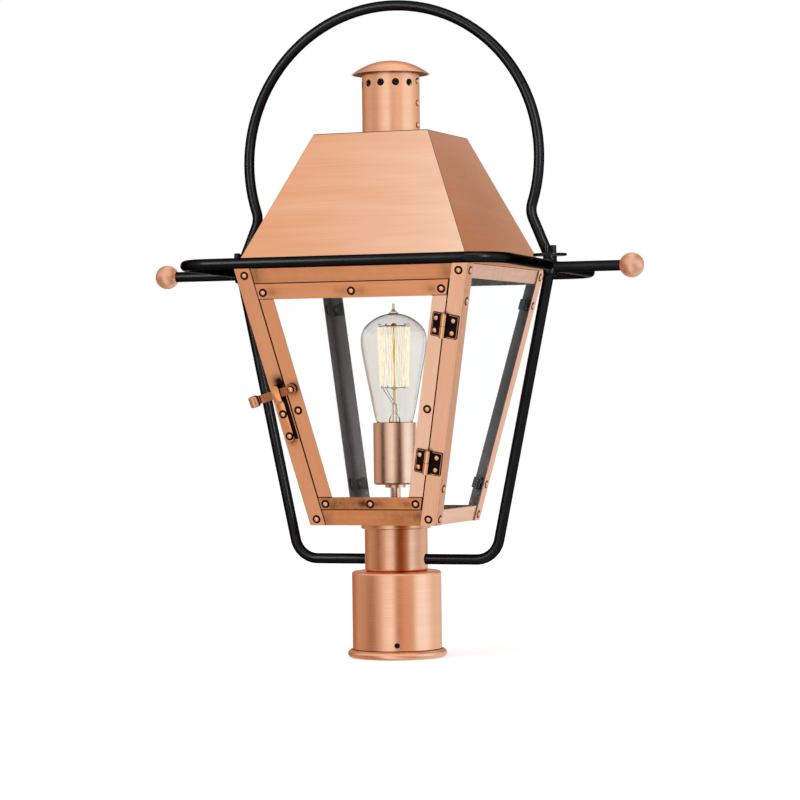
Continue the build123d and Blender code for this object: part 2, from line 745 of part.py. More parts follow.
# Socket: a sheet cover over an insulating body with a deep well for the bulb's base
cover_radius = socket_cover_diameter / 2
socket_cover = Pos(0, 0, socket_base) * Cylinder(cover_radius, socket_cover_height, align=on_axis)
socket_cover = fillet(socket_cover.edges().sort_by(Axis.Z)[0], socket_cover_round)
socket_cover -= Pos(0, 0, cover_floor) * Cylinder(
    cover_radius - socket_cover_wall, socket_cover_height, align=on_axis
)
parts["socket_cover"] = socket_cover - Pos(0, 0, socket_base) * Cylinder(pipe_hole, 4 * socket_cover_wall)
socket_height = socket_cover_height - socket_cover_wall - socket_recess
socket_radius = cover_radius - socket_cover_wall - socket_room
base_seat = cover_floor + socket_floor
lamp_socket = Pos(0, 0, cover_floor) * Cylinder(socket_radius, socket_height, align=on_axis)
lamp_socket -= Pos(0, 0, base_seat) * Cylinder(
    bulb_base_diameter / 2 + bulb_base_room, socket_height, align=on_axis
)
parts["lamp_socket"] = lamp_socket

# Bulb: screw base, pear-shaped glass drawn to a tip, glass mount and a zigzag filament
base_top = base_seat + bulb_button_height + bulb_base_height
bulb_base = Pos(0, 0, base_seat) * Cylinder(bulb_button_diameter / 2, bulb_button_height, align=on_axis)
bulb_base += Pos(0, 0, base_top - bulb_base_height) * Cylinder(
    bulb_base_diameter / 2, bulb_base_height, align=on_axis
)
parts["bulb_base"] = bulb_base


def bulb_body(inset):
    """The bulb's glass as a solid, without its tip, taken in from its outer surface by inset."""
    foot = bulb_base_diameter / 2 - inset
    heel = (bulb_heel_diameter / 2 - inset, base_top + bulb_heel_rise)
    widest = bulb_diameter / 2 - inset
    widest_height = base_top + bulb_widest_rise
    belly = bulb_belly_radius - inset
    belly_middle = widest - belly
    heel_turn = atan2(heel[1] - widest_height, heel[0] - belly_middle)
    heel_turn += acos(belly / hypot(heel[1] - widest_height, heel[0] - belly_middle))
    taper_top = (belly_middle + belly * cos(heel_turn), widest_height + belly * sin(heel_turn))
    shoulder = bulb_shoulder_radius - inset
    crown_top = base_top + bulb_crown_rise - inset
    crown_rise = crown_top - widest_height
    crown = ((widest - shoulder) ** 2 + crown_rise**2 - shoulder**2) / (2 * (crown_rise - shoulder))
    crown_turn = atan2(crown - crown_rise, widest - shoulder)
    meeting = (crown * cos(crown_turn), crown_top - crown + crown * sin(crown_turn))
    return round_solid(
        Line((0, base_top), (foot, base_top)),
        TangentArc(heel, (foot, base_top), tangent=(sin(heel_turn), -cos(heel_turn))),
        Line(heel, taper_top),
        TangentArc((widest, widest_height), taper_top, tangent=(0, -1)),
        TangentArc((widest, widest_height), meeting, tangent=(0, 1)),
        TangentArc((0, crown_top), meeting, tangent=(1, 0)),
        Line((0, crown_top), (0, base_top)),
    )


tip_radius = bulb_tip_diameter / 2
nipple = bulb_nipple_diameter / 2
tip_low = base_top + bulb_crown_rise - bulb_wall
nipple_low = base_top + bulb_nipple_rise
tip_high = base_top + bulb_tip_rise
bulb_tip = Pos(0, 0, tip_low) * Cone(tip_radius, nipple, nipple_low - tip_low, align=on_axis)
bulb_tip += Pos(0, 0, nipple_low) * Cylinder(nipple, tip_high - nipple_low, align=on_axis)
bulb_tip = fillet(bulb_tip.edges().sort_by(Axis.Z)[-1], nipple / 2)
parts["bulb_glass"] = bulb_body(0) + bulb_tip - bulb_body(bulb_wall)
press_top = base_top + mount_press_rise
mount_rod = mount_rod_diameter / 2
press = mount_press_diameter / 2
parts["bulb_mount"] = round_solid(
    Line((0, base_top), (mount_foot_diameter / 2, base_top)),
    Line((mount_foot_diameter / 2, base_top), (press, base_top + mount_foot_rise)),
    Line((press, base_top + mount_foot_rise), (press, press_top)),
    Line((press, press_top), (mount_rod, press_top)),
    Line((mount_rod, press_top), (mount_rod, base_top + mount_rod_rise)),
    Line((mount_rod, base_top + mount_rod_rise), (0, base_top + mount_rod_rise)),
    Line((0, base_top + mount_rod_rise), (0, base_top)),
)


def filament_path():
    """A wire up and down the strands of a cage, from one lead on the mount to the other."""
    low_radius, high_radius = filament_low_diameter / 2, filament_high_diameter / 2
    low, high = base_top + filament_low_rise, base_top + filament_high_rise
    lead = lead_spread / 2
    points = [Vector(lead, -lead / 2, press_top + lead_gap)]
    for strand in range(filament_strands):
        turn = 2 * pi * (strand + 0.5) / filament_strands
        ends = [
            Vector(low_radius * cos(turn), low_radius * sin(turn), low),
            Vector(high_radius * cos(turn), high_radius * sin(turn), high),
        ]
        points += ends if strand % 2 == 0 else ends[::-1]
    points.append(Vector(lead, lead / 2, press_top + lead_gap))
    return Polyline(*points)


wire_path = filament_path()
wire_section = Plane(wire_path @ 0, z_dir=wire_path % 0) * RegularPolygon(filament_wire / 2, 6)
parts["bulb_filament"] = sweep(wire_section, path=wire_path, transition=Transition.RIGHT)

# Hoop: a round arch over the roof, waisted above its two feet
hub_top = ring_height + hub_above
hub_low = ring_height - hub_below
hoop_radius = ring_half - hoop_inset
hoop_foot_half = ring_half - hoop_foot_inset
hoop_centre = ring_height + hoop_centre_rise
waist_height = ring_height + waist_rise
bend_x = sqrt((hoop_radius + waist_bend) ** 2 - (waist_height - hoop_centre) ** 2)
foot_turn = atan2(hub_top - waist_height, hoop_foot_half - bend_x)
foot_turn -= acos(waist_bend / hypot(hub_top - waist_height, hoop_foot_half - bend_x))
arch_turn = atan2(hoop_centre - waist_height, -bend_x) - 2 * pi
leg_rise = waist_height + waist_bend * sin(foot_turn) - hub_top
leg_run = Vector(bend_x + waist_bend * cos(foot_turn) - hoop_foot_half, 0, leg_rise)


def on_waist(turn, hand):
    """A point on the waist's bend at an angle, on the right or left side."""
    return (hand * (bend_x + waist_bend * cos(turn)), 0, waist_height + waist_bend * sin(turn))


def hoop_foot(hand):
    """The end of a leg's centre line, one bar's width down inside the hub, to be cut off at its top."""
    end = Vector(hoop_foot_half, 0, hub_top) - leg_run.normalized() * rod_diameter
    return (hand * end.X, 0, end.Z)


waist_middle = (foot_turn + arch_turn) / 2
hoop_path = Wire([
    Line(hoop_foot(1), on_waist(foot_turn, 1)),
    ThreePointArc(on_waist(foot_turn, 1), on_waist(waist_middle, 1), on_waist(arch_turn, 1)),
    ThreePointArc(on_waist(arch_turn, 1), (0, 0, hoop_centre + hoop_radius), on_waist(arch_turn, -1)),
    ThreePointArc(on_waist(arch_turn, -1), on_waist(waist_middle, -1), on_waist(foot_turn, -1)),
    Line(on_waist(foot_turn, -1), hoop_foot(-1)),
])
parts["hoop"] = split(bar(hoop_path), bisect_by=Plane.XY.offset(hub_top), keep=Keep.TOP)

# Ring: one bar bent to a square with round corners, level with the roof's edge
ring_outline = RectangleRounded(2 * ring_half, 2 * ring_half, ring_corner)
ring_frame = Pos(0, 0, ring_height + ring_lift) * Rot(-ring_tilt, 0, 0)
parts["ring"] = bar((ring_frame * ring_outline).wire())

# Side rods, from the hubs down beside the cage and in to the collar
side_rod_path = FilletPolyline(
    (ring_half, 0, ring_height),
    (side_rod_corner_half, 0, side_rod_height),
    (collar_radius - side_rod_seat, 0, side_rod_height),
    radius=side_rod_bend,
)
side_rod = split(bar(side_rod_path), bisect_by=Plane.XY.offset(hub_low), keep=Keep.BOTTOM)

# Arms, shaped at one end to the round hubs, and their ball ends
hub_radius = hub_diameter / 2
arm_length = ball_reach - ball_diameter / 2 + arm_seat
at_hub = Pos(ring_half, 0, ring_height)
arm = Rot(0, 90, 0) * Cylinder(rod_diameter / 2, arm_length, align=on_axis)
arm -= Cylinder(hub_radius + cope_gap, 4 * rod_diameter)
arm = at_hub * arm
along_ring = ring_frame * Pos(ring_half, 0, 0) * Rot(90, 0, 0)
arm -= along_ring * Cylinder(rod_diameter / 2 + cope_gap, 4 * rod_diameter)
ball_hole = Rot(0, -90, 0) * Cylinder(rod_hole, ball_diameter, align=on_axis)
ball = Sphere(ball_diameter / 2) - Pos(arm_seat - ball_diameter / 2, 0, 0) * ball_hole
ball = at_hub * Pos(ball_reach, 0, 0) * ball

# Hubs, bored for the ring, each with a round plate on top and two studs that bear on the ring
hub = Pos(ring_half, 0, hub_low) * Cylinder(hub_radius, hub_below + hub_above, align=on_axis)
hub = fillet(hub.edges().sort_by(Axis.Z)[0], hub_round)
hub -= along_ring * Cylinder(rod_hole, 2 * hub_diameter)
stud_radius = stud_diameter / 2
stud_top = hub_top + hub_plate_thickness + stud_height
ring_top = ring_height + ring_lift + rod_diameter / 2 + stud_rest_gap
stud_places = [Pos(ring_half, hand * stud_pitch / 2, hub_top) for hand in (-1, 1)]
plate = Pos(ring_half, 0, hub_top) * Cylinder(hub_plate_diameter / 2, hub_plate_thickness, align=on_axis)
foot_lean = atan(leg_run.X / leg_run.Z)
foot_drift = leg_run.X / leg_run.Z * hub_plate_thickness / 2
foot_reach = rod_diameter / 2 / cos(foot_lean) - foot_drift
foot_hole = Ellipse(foot_reach + foot_room, rod_diameter / 2 + foot_room)
plate -= Pos(hoop_foot_half + foot_drift, 0, hub_top) * extrude(foot_hole, hub_plate_thickness)
plate -= [place * Cylinder(stud_radius + hole_room, 4 * hub_plate_thickness) for place in stud_places]


def ring_stud(hand):
    """A stud through the plate, in front of the hub or behind it, that ends on the tilted ring."""
    low = ring_top + (stud_radius - hand * stud_pitch / 2) * sin(radians(ring_tilt))
    stud = Cylinder(stud_radius, stud_top - low, align=on_axis)
    stud = chamfer(stud.edges().sort_by(Axis.Z)[-1], stud_chamfer)
    return Pos(ring_half, hand * stud_pitch / 2, low) * stud



for name, right_piece in (("side_rod", side_rod), ("arm", arm), ("hub", hub)):
    parts[name + "_right"] = right_piece
    parts[name + "_left"] = mirror(right_piece, Plane.YZ)
parts["arm_balls"] = [ball, mirror(ball, Plane.YZ)]
parts["hub_plates"] = [plate, mirror(plate, Plane.YZ)]
right_studs = [ring_stud(hand) for hand in (-1, 1)]
parts["hub_studs"] = right_studs + [mirror(one, Plane.YZ) for one in right_studs]

os.makedirs("parts", exist_ok=True)
for name, piece in parts.items():
    solids = piece if isinstance(piece, list) else [piece]
    export_step(Compound(children=[Part(one.wrapped) for one in solids]), "parts/" + name + ".step")
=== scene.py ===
from math import acos, atan, atan2, cos, degrees, exp, hypot, pi, radians, sin, sqrt, tan

import bmesh
import bpy
from mathutils import Matrix, Vector


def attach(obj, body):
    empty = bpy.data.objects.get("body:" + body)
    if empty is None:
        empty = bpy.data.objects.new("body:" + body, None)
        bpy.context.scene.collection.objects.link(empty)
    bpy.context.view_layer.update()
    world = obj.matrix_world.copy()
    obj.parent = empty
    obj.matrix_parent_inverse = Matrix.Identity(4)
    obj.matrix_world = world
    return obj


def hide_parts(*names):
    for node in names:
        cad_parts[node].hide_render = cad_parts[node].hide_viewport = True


# A post lantern of riveted copper sheet in a black rod frame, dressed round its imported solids.
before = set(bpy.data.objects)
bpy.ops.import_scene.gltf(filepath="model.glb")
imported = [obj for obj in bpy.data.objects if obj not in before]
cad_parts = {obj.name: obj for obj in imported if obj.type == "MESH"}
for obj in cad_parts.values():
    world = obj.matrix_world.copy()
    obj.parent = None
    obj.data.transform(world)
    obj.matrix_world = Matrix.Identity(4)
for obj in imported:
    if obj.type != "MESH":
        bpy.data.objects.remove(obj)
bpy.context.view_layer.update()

MM = 0.001
UP = Vector((0, 0, 1))
ACROSS = Vector((1, 0, 0))
BACK = Vector((0, 1, 0))

# Sizes in millimetres, as the part's source has them
CAGE_BOTTOM = 121.3
CAGE_TOP = 350.2
CAGE_BOTTOM_HALF = 59.8
CAGE_TOP_HALF = 109.5
SHEET = 1.0
POST_FLANGE = 15.0
RIVET_INSET = 8.0
RAIL_RIVETS = (126.9, 343.9)
CLIP_RIVETS = (154.0, 317.5)
HINGE_HEIGHTS = (178.0, 297.0)
HINGE_RIVET_PITCH = 11.0
POST_LEAF_RIVET = 8.1
DOOR_LEAF_RIVET = 7.2
HINGE_LEAF = 1.0
DOOR_GAP = 0.7
DOOR_LIFT = 0.2
DOOR_RIVET_INSET = 5.7
DOOR_TOP_RIVETS = 328.8
DOOR_BOTTOM_RIVETS = 140.9
STILE_RIVETS = 224.4
DOOR_LOW = 135.6
DOOR_HIGH = 336.6
DOOR_STILE = 13.4
DOOR_RAIL_EDGES = (146.9, 322.9)
KEEPER_LOW = 197.0
KEEPER_INSET = 6.4
KEEPER_SHEET = 1.2
KEEPER_RIVETS = (4.7, 24.3)
LATCH_HEIGHT = 243.6
ROOF_TOP = 471.4
BEAD_HEIGHT = 7.5
SCREW_HEIGHT = 13.0
SCREW_TURN = 20.0
FITTER_RADIUS = 40.0
CHIMNEY_RADIUS = 26.15
SEAM_RIVETS = (520.2, 500.2, 480.2)
SEAM_TURN = 87.0
ROD = 9.5
RING_HALF = 149.0
RING_CORNER = 30.0
ARM_HEIGHT = 349.0
RING_HEIGHT = 350.7
RING_TILT = 0.95
HOOP_RADIUS = 140.0
HOOP_CENTRE = 449.8
WAIST_HEIGHT = 400.5
WAIST_BEND = 20.0
HOOP_FOOT = 148.0
HUB_TOP = 359.0
SIDE_ROD_CORNER = 94.6
SIDE_ROD_HEIGHT = 88.5
SIDE_ROD_BEND = 22.0
SIDE_ROD_END = 23.5
BALL_REACH = 224.2
BALL_SEAT = 6.0

SLOPE = (CAGE_TOP_HALF - CAGE_BOTTOM_HALF) / (CAGE_TOP - CAGE_BOTTOM)
LEAN = atan(SLOPE)
FACE_OUT = Vector((0, -cos(LEAN), -sin(LEAN)))


# Helpers

# What Blender's names for the kinds of node begin with
FAMILIES = ("ShaderNode", "GeometryNode", "FunctionNode", "Node")


def tint(code):
    """An sRGB hex colour as linear red, green, blue and alpha."""
    shares = [int(code[place:place + 2], 16) / 255 for place in (1, 3, 5)]
    linear = [share / 12.92 if share <= 0.04045 else ((share + 0.055) / 1.055) ** 2.4 for share in shares]
    return (*linear, 1.0)


def feed(tree, node, inputs):
    """Sets a node's inputs, or links them to sockets or to other nodes' first outputs."""
    for name, value in inputs.items():
        socket = next(
            socket for number, socket in enumerate(node.inputs)
            if number == name or socket.name == name and socket.enabled)
        if isinstance(value, bpy.types.Node):
            value = next(output for output in value.outputs if output.enabled)
        if isinstance(value, bpy.types.NodeSocket):
            tree.links.new(value, socket)
        else:
            socket.default_value = tint(value) if str(value).startswith("#") else value


def add(tree, kind, inputs=None, **settings):
    """Adds a node with its settings, and sets or links its inputs."""
    node = tree.nodes.new(next(family + kind for family in FAMILIES if hasattr(bpy.types, family + kind)))
    for name, value in settings.items():
        setattr(node, name, value)
    feed(tree, node, inputs or {})
    return node


def show(name, data):
    """A new object in the scene."""
    thing = bpy.data.objects.new(name, data)
    bpy.context.scene.collection.objects.link(thing)
    return thing


def per_mm(size):
    """A pattern's scale from the size of its marks in millimetres."""
    return 1 / (size * MM)


# Finishes

# Colour of the dark marks: tarnish in some places, painted shadow in others
TARNISH_AND_SHADOW = "#241610"
FINE = {"Detail": 3.0, "Roughness": 0.6}
SPREAD = {"From Min": 0.3, "From Max": 0.7}


def new_finish(name):
    """A new material, its tree, its shader, and the place on the piece."""
    material = bpy.data.materials.new(name)
    material.use_nodes = True
    tree = material.node_tree
    tree.nodes.clear()
    shader = add(tree, "BsdfPrincipled")
    add(tree, "OutputMaterial", {"Surface": shader})
    return material, tree, shader, add(tree, "TexCoord").outputs["Object"]


def copper(name, light, deep, grain, toning, contrast, shine, on_sheet=True, relief=0.012):
    """Antique copper with drawn lines, long soft toning, painted shading, and dark marks of tarnish and painted
    shadow.

    Grain and toning give the length and width of their marks in millimetres, shine the roughness.
    """
    material, tree, shader, place = new_finish(name)
    lay = add(tree, "UVMap", uv_map="grain") if on_sheet else place
    drawn, drifted = (
        add(tree, "VectorMath", {0: lay, 1: (per_mm(run), per_mm(width), 1)}, operation="MULTIPLY")
        for run, width in (grain, toning))
    lines = add(tree, "TexNoise", {"Vector": drawn, "Scale": 1.0, **FINE})
    streaks = add(tree, "TexNoise", {"Vector": drifted, "Scale": 1.0, "Detail": 2.0, "Distortion": 0.4})
    wisps = add(tree, "TexNoise", {"Vector": place, "Scale": per_mm(7), **FINE})
    shade, smoke = (add(tree, "Attribute", attribute_name=layer).outputs["Fac"] for layer in ("shade", "smoke"))
    toned = add(tree, "Math", {0: lines, 1: streaks}, operation="ADD")
    patterned = add(tree, "MapRange", {
        "Value": toned, "From Min": 0.6, "From Max": 1.4, "To Min": 0.5 - contrast, "To Max": 0.5 + contrast})
    depth = add(tree, "Math", {0: patterned, 1: shade}, operation="ADD", use_clamp=True)
    metal = add(tree, "Mix", {"Factor": depth, "A": light, "B": deep}, data_type="RGBA")
    ragged = add(tree, "MapRange", {"Value": wisps, **SPREAD, "To Min": 0.55, "To Max": 1.25})
    smoked = add(tree, "Math", {0: smoke, 1: ragged}, operation="MULTIPLY", use_clamp=True)
    feed(tree, shader, {
        "Base Color": add(tree, "Mix", {"Factor": smoked, "A": metal, "B": TARNISH_AND_SHADOW}, data_type="RGBA"),
        "Roughness": add(tree, "MapRange", {
            "Value": toned, "From Min": 0.7, "From Max": 1.3, "To Min": shine[0], "To Max": shine[1]}),
        "Normal": add(tree, "Bump", {"Height": lines, "Strength": relief, "Distance": 0.1 * MM}),
        "Metallic": 1.0,
        "Specular Tint": "#FFE3D6",
    })
    return material


# Brushed sheet: lines along the strip, 1 mm apart so that they show at this distance
SHEET_COPPER = copper("brushed_copper_sheet", "#FAD2B9", "#E39A68", (90, 1.0), (110, 14), 0.16, (0.27, 0.36))
# Spun and turned pieces: lines run round them, as from a lathe
TURNED_COPPER = copper(
    "turned_copper", "#F6C09D", "#E3A47E", (160, 0.9), (200, 9), 0.14, (0.22, 0.30), relief=0.006)
# The collar and the latch lever: a copper that deepens to dark brown, for the painted shade and reflections on
# them
TONED_COPPER = copper(
    "toned_turned_copper", "#F6C09D", "#9A5527", (160, 0.9), (200, 9), 0.05, (0.22, 0.29), relief=0.006)
# Balls on the arms, finely blasted before plating
BALL_COPPER = copper("matt_copper_ball", "#F1C0A2", "#DFA383", (60, 4.0), (60, 20), 0.06, (0.38, 0.42))
# Polished heads of rivets and pins, worn bright
BRIGHT_COPPER = copper(
    "polished_copper", "#F8C4A0", "#E6A47A", (30, 0.8), (40, 6), 0.25, (0.14, 0.22), on_sheet=False)
# The lamp's socket cover and pipe, plated and finely satined
SATIN_COPPER = copper(
    "satin_copper_plate", "#F2CAB0", "#E0B295", (120, 0.7), (150, 9), 0.10, (0.27, 0.30), relief=0.003)


def mottled(name, base, mark, size, shine, sockets, noise=FINE, on="Base Color", rubbed=0.0):
    """A finish whose marks, of a size in millimetres, change colour and roughness."""
    material, tree, shader, place = new_finish(name)
    marks = add(tree, "TexNoise", {"Vector": place, "Scale": per_mm(size), **noise})
    share = marks
    if rubbed:
        share = add(
            tree, "MapRange", {"Value": marks, "From Min": 0.5, "From Max": 0.72, "To Max": rubbed},
            interpolation_type="SMOOTHSTEP")
        feed(tree, shader, {
            "Normal": add(tree, "Bump", {"Height": marks, "Strength": 0.15, "Distance": 0.2 * MM})})
    smooth, rough = shine
    feed(tree, shader, {
        on: add(tree, "Mix", {"Factor": share, "A": base, "B": mark}, data_type="RGBA"),
        "Roughness": rough if smooth == rough else add(
            tree, "MapRange", {"Value": marks, **SPREAD, "To Min": smooth, "To Max": rough}),
        **sockets,
    })
    return material


def blackened(name, base, worn, rubbed, rough, metallic):
    """Metal blackened in a bath: dark and matt, paler where it is rubbed, in 5 mm patches."""
    return mottled(
        name, base, worn, 5, (rough, rough - 0.15), {"Metallic": metallic, "Specular IOR Level": 0.05},
        {"Detail": 4.0, "Roughness": 0.65}, rubbed=rubbed)


# Inner faces of the sheet, where the patina was never buffed
INNER_COPPER = blackened("oxidised_copper_inside", "#787675", "#817F7D", 0.6, 0.80, 0.0)
# Hinge leaves, seams and rings round rivet heads, blackened with liver of sulphur; also painted shade in the
# door's gaps, under the door rails' laps, beside the keeper and on the fittings' walls
PATINA_AND_SHADE = blackened("black_patina_and_shade", "#17110E", "#4A2C1D", 0.35, 0.55, 0.5)
# Spring-steel glass clips, chemically blacked
CLIP_BLACK = blackened("blacked_spring_steel", "#4E4E4D", "#5C5B5A", 0.4, 0.70, 0.0)


def clear_glass(name, colour, ripple, ior):
    """Drawn sheet or blown glass: clear, faintly grey, with a slow ripple about 60 mm long."""
    material, tree, shader, place = new_finish(name)
    wave = add(tree, "TexNoise", {"Vector": place, "Scale": per_mm(60), "Detail": 1.0})
    feed(tree, shader, {
        "Normal": add(tree, "Bump", {"Height": wave, "Strength": ripple, "Distance": 0.3 * MM}),
        "Base Color": colour,
        "Roughness": 0.0,
        "IOR": ior,
        "Transmission Weight": 1.0,
    })
    return material


PANE_GLASS = clear_glass("drawn_sheet_glass", "#FFFFFF", 0.01, 1.035)
BULB_GLASS = clear_glass("blown_bulb_glass", "#F1EFEB", 0.005, 1.42)
# The tip where the bulb was sealed off, thicker and so darker
TIP_GLASS = clear_glass("sealed_tip_glass", "#BDB9B2", 0.02, 1.42)
# Stem of lead glass, amber by the filament's light
STEM_GLASS = clear_glass("lead_glass_stem", "#F8F0DC", 0.02, 1.18)


METAL = {"Metallic": 1.0}
# Black powder coat on steel rod: satin, a little glossier in long patches
POWDER_COAT = mottled(
    "black_powder_coat", "#1A1B1C", "#232425", 22, (0.26, 0.33), {**METAL, "Specular Tint": "#8A8A8A"})
# Set screws: black-oxide alloy steel, finely scratched
BLACK_STEEL = mottled("black_oxide_steel", "#2A2A2A", "#151515", 1.0, (0.35, 0.50), METAL)
# Rolled brass of the bulb's screw base
LAMP_BRASS = mottled("rolled_lamp_brass", "#E2C27A", "#B98F45", 2.0, (0.22, 0.35), METAL)
# The bulb's central rod, warm brass-coloured
GILT_ROD = mottled("gilt_support_rod", "#FFE7A6", "#EFC873", 2.0, (0.55, 0.65), METAL)
# Support wires of nickel, dull grey
NICKEL_WIRE = mottled("nickel_wire", "#8F8B84", "#4F4B46", 1.0, (0.30, 0.45), METAL)
# Copper-clad lead wires, oxidised dark
LEAD_WIRE = mottled("oxidised_lead_wire", "#4C4843", "#2B2826", 1.0, (0.30, 0.45), METAL)
# Moulded phenolic of the socket: brown-black with a faint mottle
PHENOLIC = mottled("moulded_phenolic", "#17110E", "#2C211B", 3, (0.42, 0.42), {"IOR": 1.6}, {"Detail": 3.0})
# Carbon filament, lit low: pale yellow, a little uneven along its length
FILAMENT = mottled(
    "lit_carbon_filament", "#FFF9E8", "#F3DFB4", 3, (0.6, 0.6),
    {"Base Color": "#6B5426", "Emission Strength": 1.2}, {"Detail": 2.0}, on="Emission Color")


# Pieces

MERGE = 0.002 * MM
FLAT = radians(0.4)
CREASE = radians(30)
# How far out or in a face has to point to count as an outer or inner one
OUTWARD = 0.2
ROUND_RADIUS = 30.0


def put(name, mesh, body, nodes):
    """Puts a mesh on a body as a piece that stands for some CAD nodes."""
    piece = show(name, mesh)
    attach(piece, body)
    if nodes:
        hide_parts(*nodes)
    return piece


def cad_copy(nodes):
    """Some nodes' CAD solids as one merged mesh with whole flat faces."""
    solid = bmesh.new()
    for node in nodes:
        solid.from_mesh(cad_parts[node].data)
    bmesh.ops.remove_doubles(solid, verts=solid.verts, dist=MERGE)
    bmesh.ops.dissolve_limit(solid, angle_limit=FLAT, verts=solid.verts, edges=solid.edges)
    return solid


def slice_up(solid, direction, places):
    """Cuts a mesh across a direction at some places, or in even steps of a size, in millimetres."""
    if isinstance(places, float):
        reach = [vert.co.dot(direction) / MM for vert in solid.verts]
        low, high = min(reach), max(reach)
        count = int((high - low) / places)
        places = [low + (high - low) * number / (count + 1) for number in range(1, count + 1)]
    for place in places:
        bmesh.ops.bisect_plane(
            solid, geom=solid.verts[:] + solid.edges[:] + solid.faces[:], dist=MERGE / 2,
            plane_co=direction * place * MM, plane_no=direction)


def facing_out(face):
    """How far a face points away from the lantern's axis, from -1 to 1."""
    middle = face.calc_center_median()
    away = Vector((middle.x, middle.y, 0))
    return face.normal.dot(away.normalized()) if away.length > MM else 0.0


def round_off(solid, edges, width, steps):
    """Rounds off some edges to a width in millimetres."""
    bmesh.ops.bevel(
        solid, geom=edges, offset=width * MM, segments=steps, profile=0.5, affect="EDGES", clamp_overlap=True)


def soften(solid, width, least):
    """Rounds off the sharp edges that are longer than least."""
    edges = [edge for edge in solid.edges if edge.is_manifold
             and edge.calc_face_angle(0.0) > CREASE and edge.calc_length() > least * MM]
    round_off(solid, edges, width, 2)


def grain_spot(spot, face, lay):
    """A corner's place on the grain in metres: along the drawn lines, and across them."""
    if lay == "ball":
        return spot.y + spot.z, abs(spot.x)
    if lay == "round":
        middle = face.calc_center_median()
        home = atan2(middle.y, middle.x)
        radius = hypot(spot.x, spot.y)
        turn = (atan2(spot.y, spot.x) - home + pi) % (2 * pi) - pi if radius > MM else 0.0
        return (home + turn) * ROUND_RADIUS * MM, spot.z - radius
    level = UP.cross(face.normal) if lay == "level" else lay
    level = level.normalized() if level.length > 0.1 else ACROSS
    return spot.dot(level), spot.dot(face.normal.cross(level))


def lay_grain(solid, lay):
    """Gives the faces a UV map: its lines run round, over a ball, along a direction, or level."""
    layer = solid.loops.layers.uv.new("grain")
    for face in solid.faces:
        for loop in face.loops:
            loop[layer].uv = grain_spot(loop.vert.co, face, lay)


def dress(name, solid, nodes, materials, shade=0.0, smooth=False, smoke=None,
          body="lantern", slot="antique_copper"):
    """Makes a mesh a piece, with its painted shading, its tarnish and painted shadow, smoothness, materials and
    body.
    """
    bmesh.ops.dissolve_degenerate(solid, dist=MERGE, edges=solid.edges)
    layer = solid.verts.layers.float.new("shade")
    film = solid.verts.layers.float.new("smoke")
    for vert in solid.verts:
        vert[layer] = shade(vert) if callable(shade) else shade
        vert[film] = smoke(vert.co / MM) if smoke else 0.0
    for face in solid.faces:
        face.smooth = smooth
    for edge in solid.edges:
        edge.smooth = edge.is_manifold and edge.calc_face_angle(0.0) < CREASE
    mesh = bpy.data.meshes.new(name)
    solid.to_mesh(mesh)
    solid.free()
    for material in materials:
        mesh.materials.append(material)
    return put(name, mesh, body, nodes)


def fitted(name, nodes, finishes, edge=(), cuts=(), pick=None, lay=None, **dressing):
    """A piece with its CAD nodes' shape: soft edges, cuts, a finish picked for each face, and a grain."""
    solid = cad_copy(nodes)
    if edge:
        soften(solid, *edge)
    for direction, places in cuts:
        slice_up(solid, direction, places)
    for face in solid.faces:
        face.material_index = pick(face) if pick else 0
    if lay:
        lay_grain(solid, lay)
    return dress(name, solid, nodes, finishes, **dressing)


def half_at(z):
    """Half width of the cage at a height, in millimetres."""
    return CAGE_BOTTOM_HALF + SLOPE * (z - CAGE_BOTTOM)


def door_half(z):
    """Half width of the door at a height."""
    return half_at(z) - POST_FLANGE - DOOR_GAP


def on_front(x, z, out=0.0):
    """A point on the front face, standing out from it, in millimetres."""
    return Vector((x, -half_at(z), z)) + FACE_OUT * out


def above_face(spot):
    """How far a point in millimetres stands out from the front face."""
    return (spot - on_front(0, CAGE_BOTTOM)).dot(FACE_OUT)


def up_corner(x, y):
    """The direction up the cage's corner on the side of x and y."""
    return Vector((x * SLOPE, y * SLOPE, 1))


def seam_line(hand):
    """Directions along the seam on one side of the door, and across it."""
    along = up_corner(hand, -1).normalized()
    return along, along.cross(FACE_OUT).normalized() * hand


def seam_cut(hand, off):
    """The plane a distance outside the seam, as a direction and a place along it."""
    across = seam_line(hand)[1]
    foot = on_front(hand * (CAGE_BOTTOM_HALF - POST_FLANGE), CAGE_BOTTOM)
    return across, foot.dot(across) + off


def off_seam(spot, hand):
    """How far a point in millimetres lies outside the seam."""
    across, foot = seam_cut(hand, 0)
    return spot.dot(across) - foot


# Sheet strips: corner posts, rails and the door's frame

FOLD = 0.9
FOLD_LENGTH = 200
SHEET_EDGE = 0.15
LONG_EDGE = 4
CUT_STEP = 3.0
SHEET_FINISHES = (SHEET_COPPER, INNER_COPPER, PATINA_AND_SHADE)
# Black borders: at the door's seams, partly patina and partly painted shade of the gaps; beside the keeper,
# partly patina and partly its painted shadow; on the rails, painted shadow along the gaps and where the door
# rails lap the stiles
SEAM_BLACK = 0.4
HINGE_BLACK = 0.2
BORDERS = {-1: SEAM_BLACK, 1: HINGE_BLACK}
SEAM_DEPTH = 1.6
KEEPER_BLACK = 5.2
KEEPER_LINE = 1.1
KEEPER_SPAN = (KEEPER_LOW + 2, LATCH_HEIGHT - 4)
RAIL_BLACK = 0.35
LAP_BLACK = 0.8
LAP_LINES = (DOOR_RAIL_EDGES[0] - LAP_BLACK, DOOR_RAIL_EDGES[1] + LAP_BLACK / 2)
DOOR_SPAN = (DOOR_LOW - 0.6, DOOR_HIGH + 0.6)
# Reach of a mark that covers a whole strip
ALL_OVER = 900.0


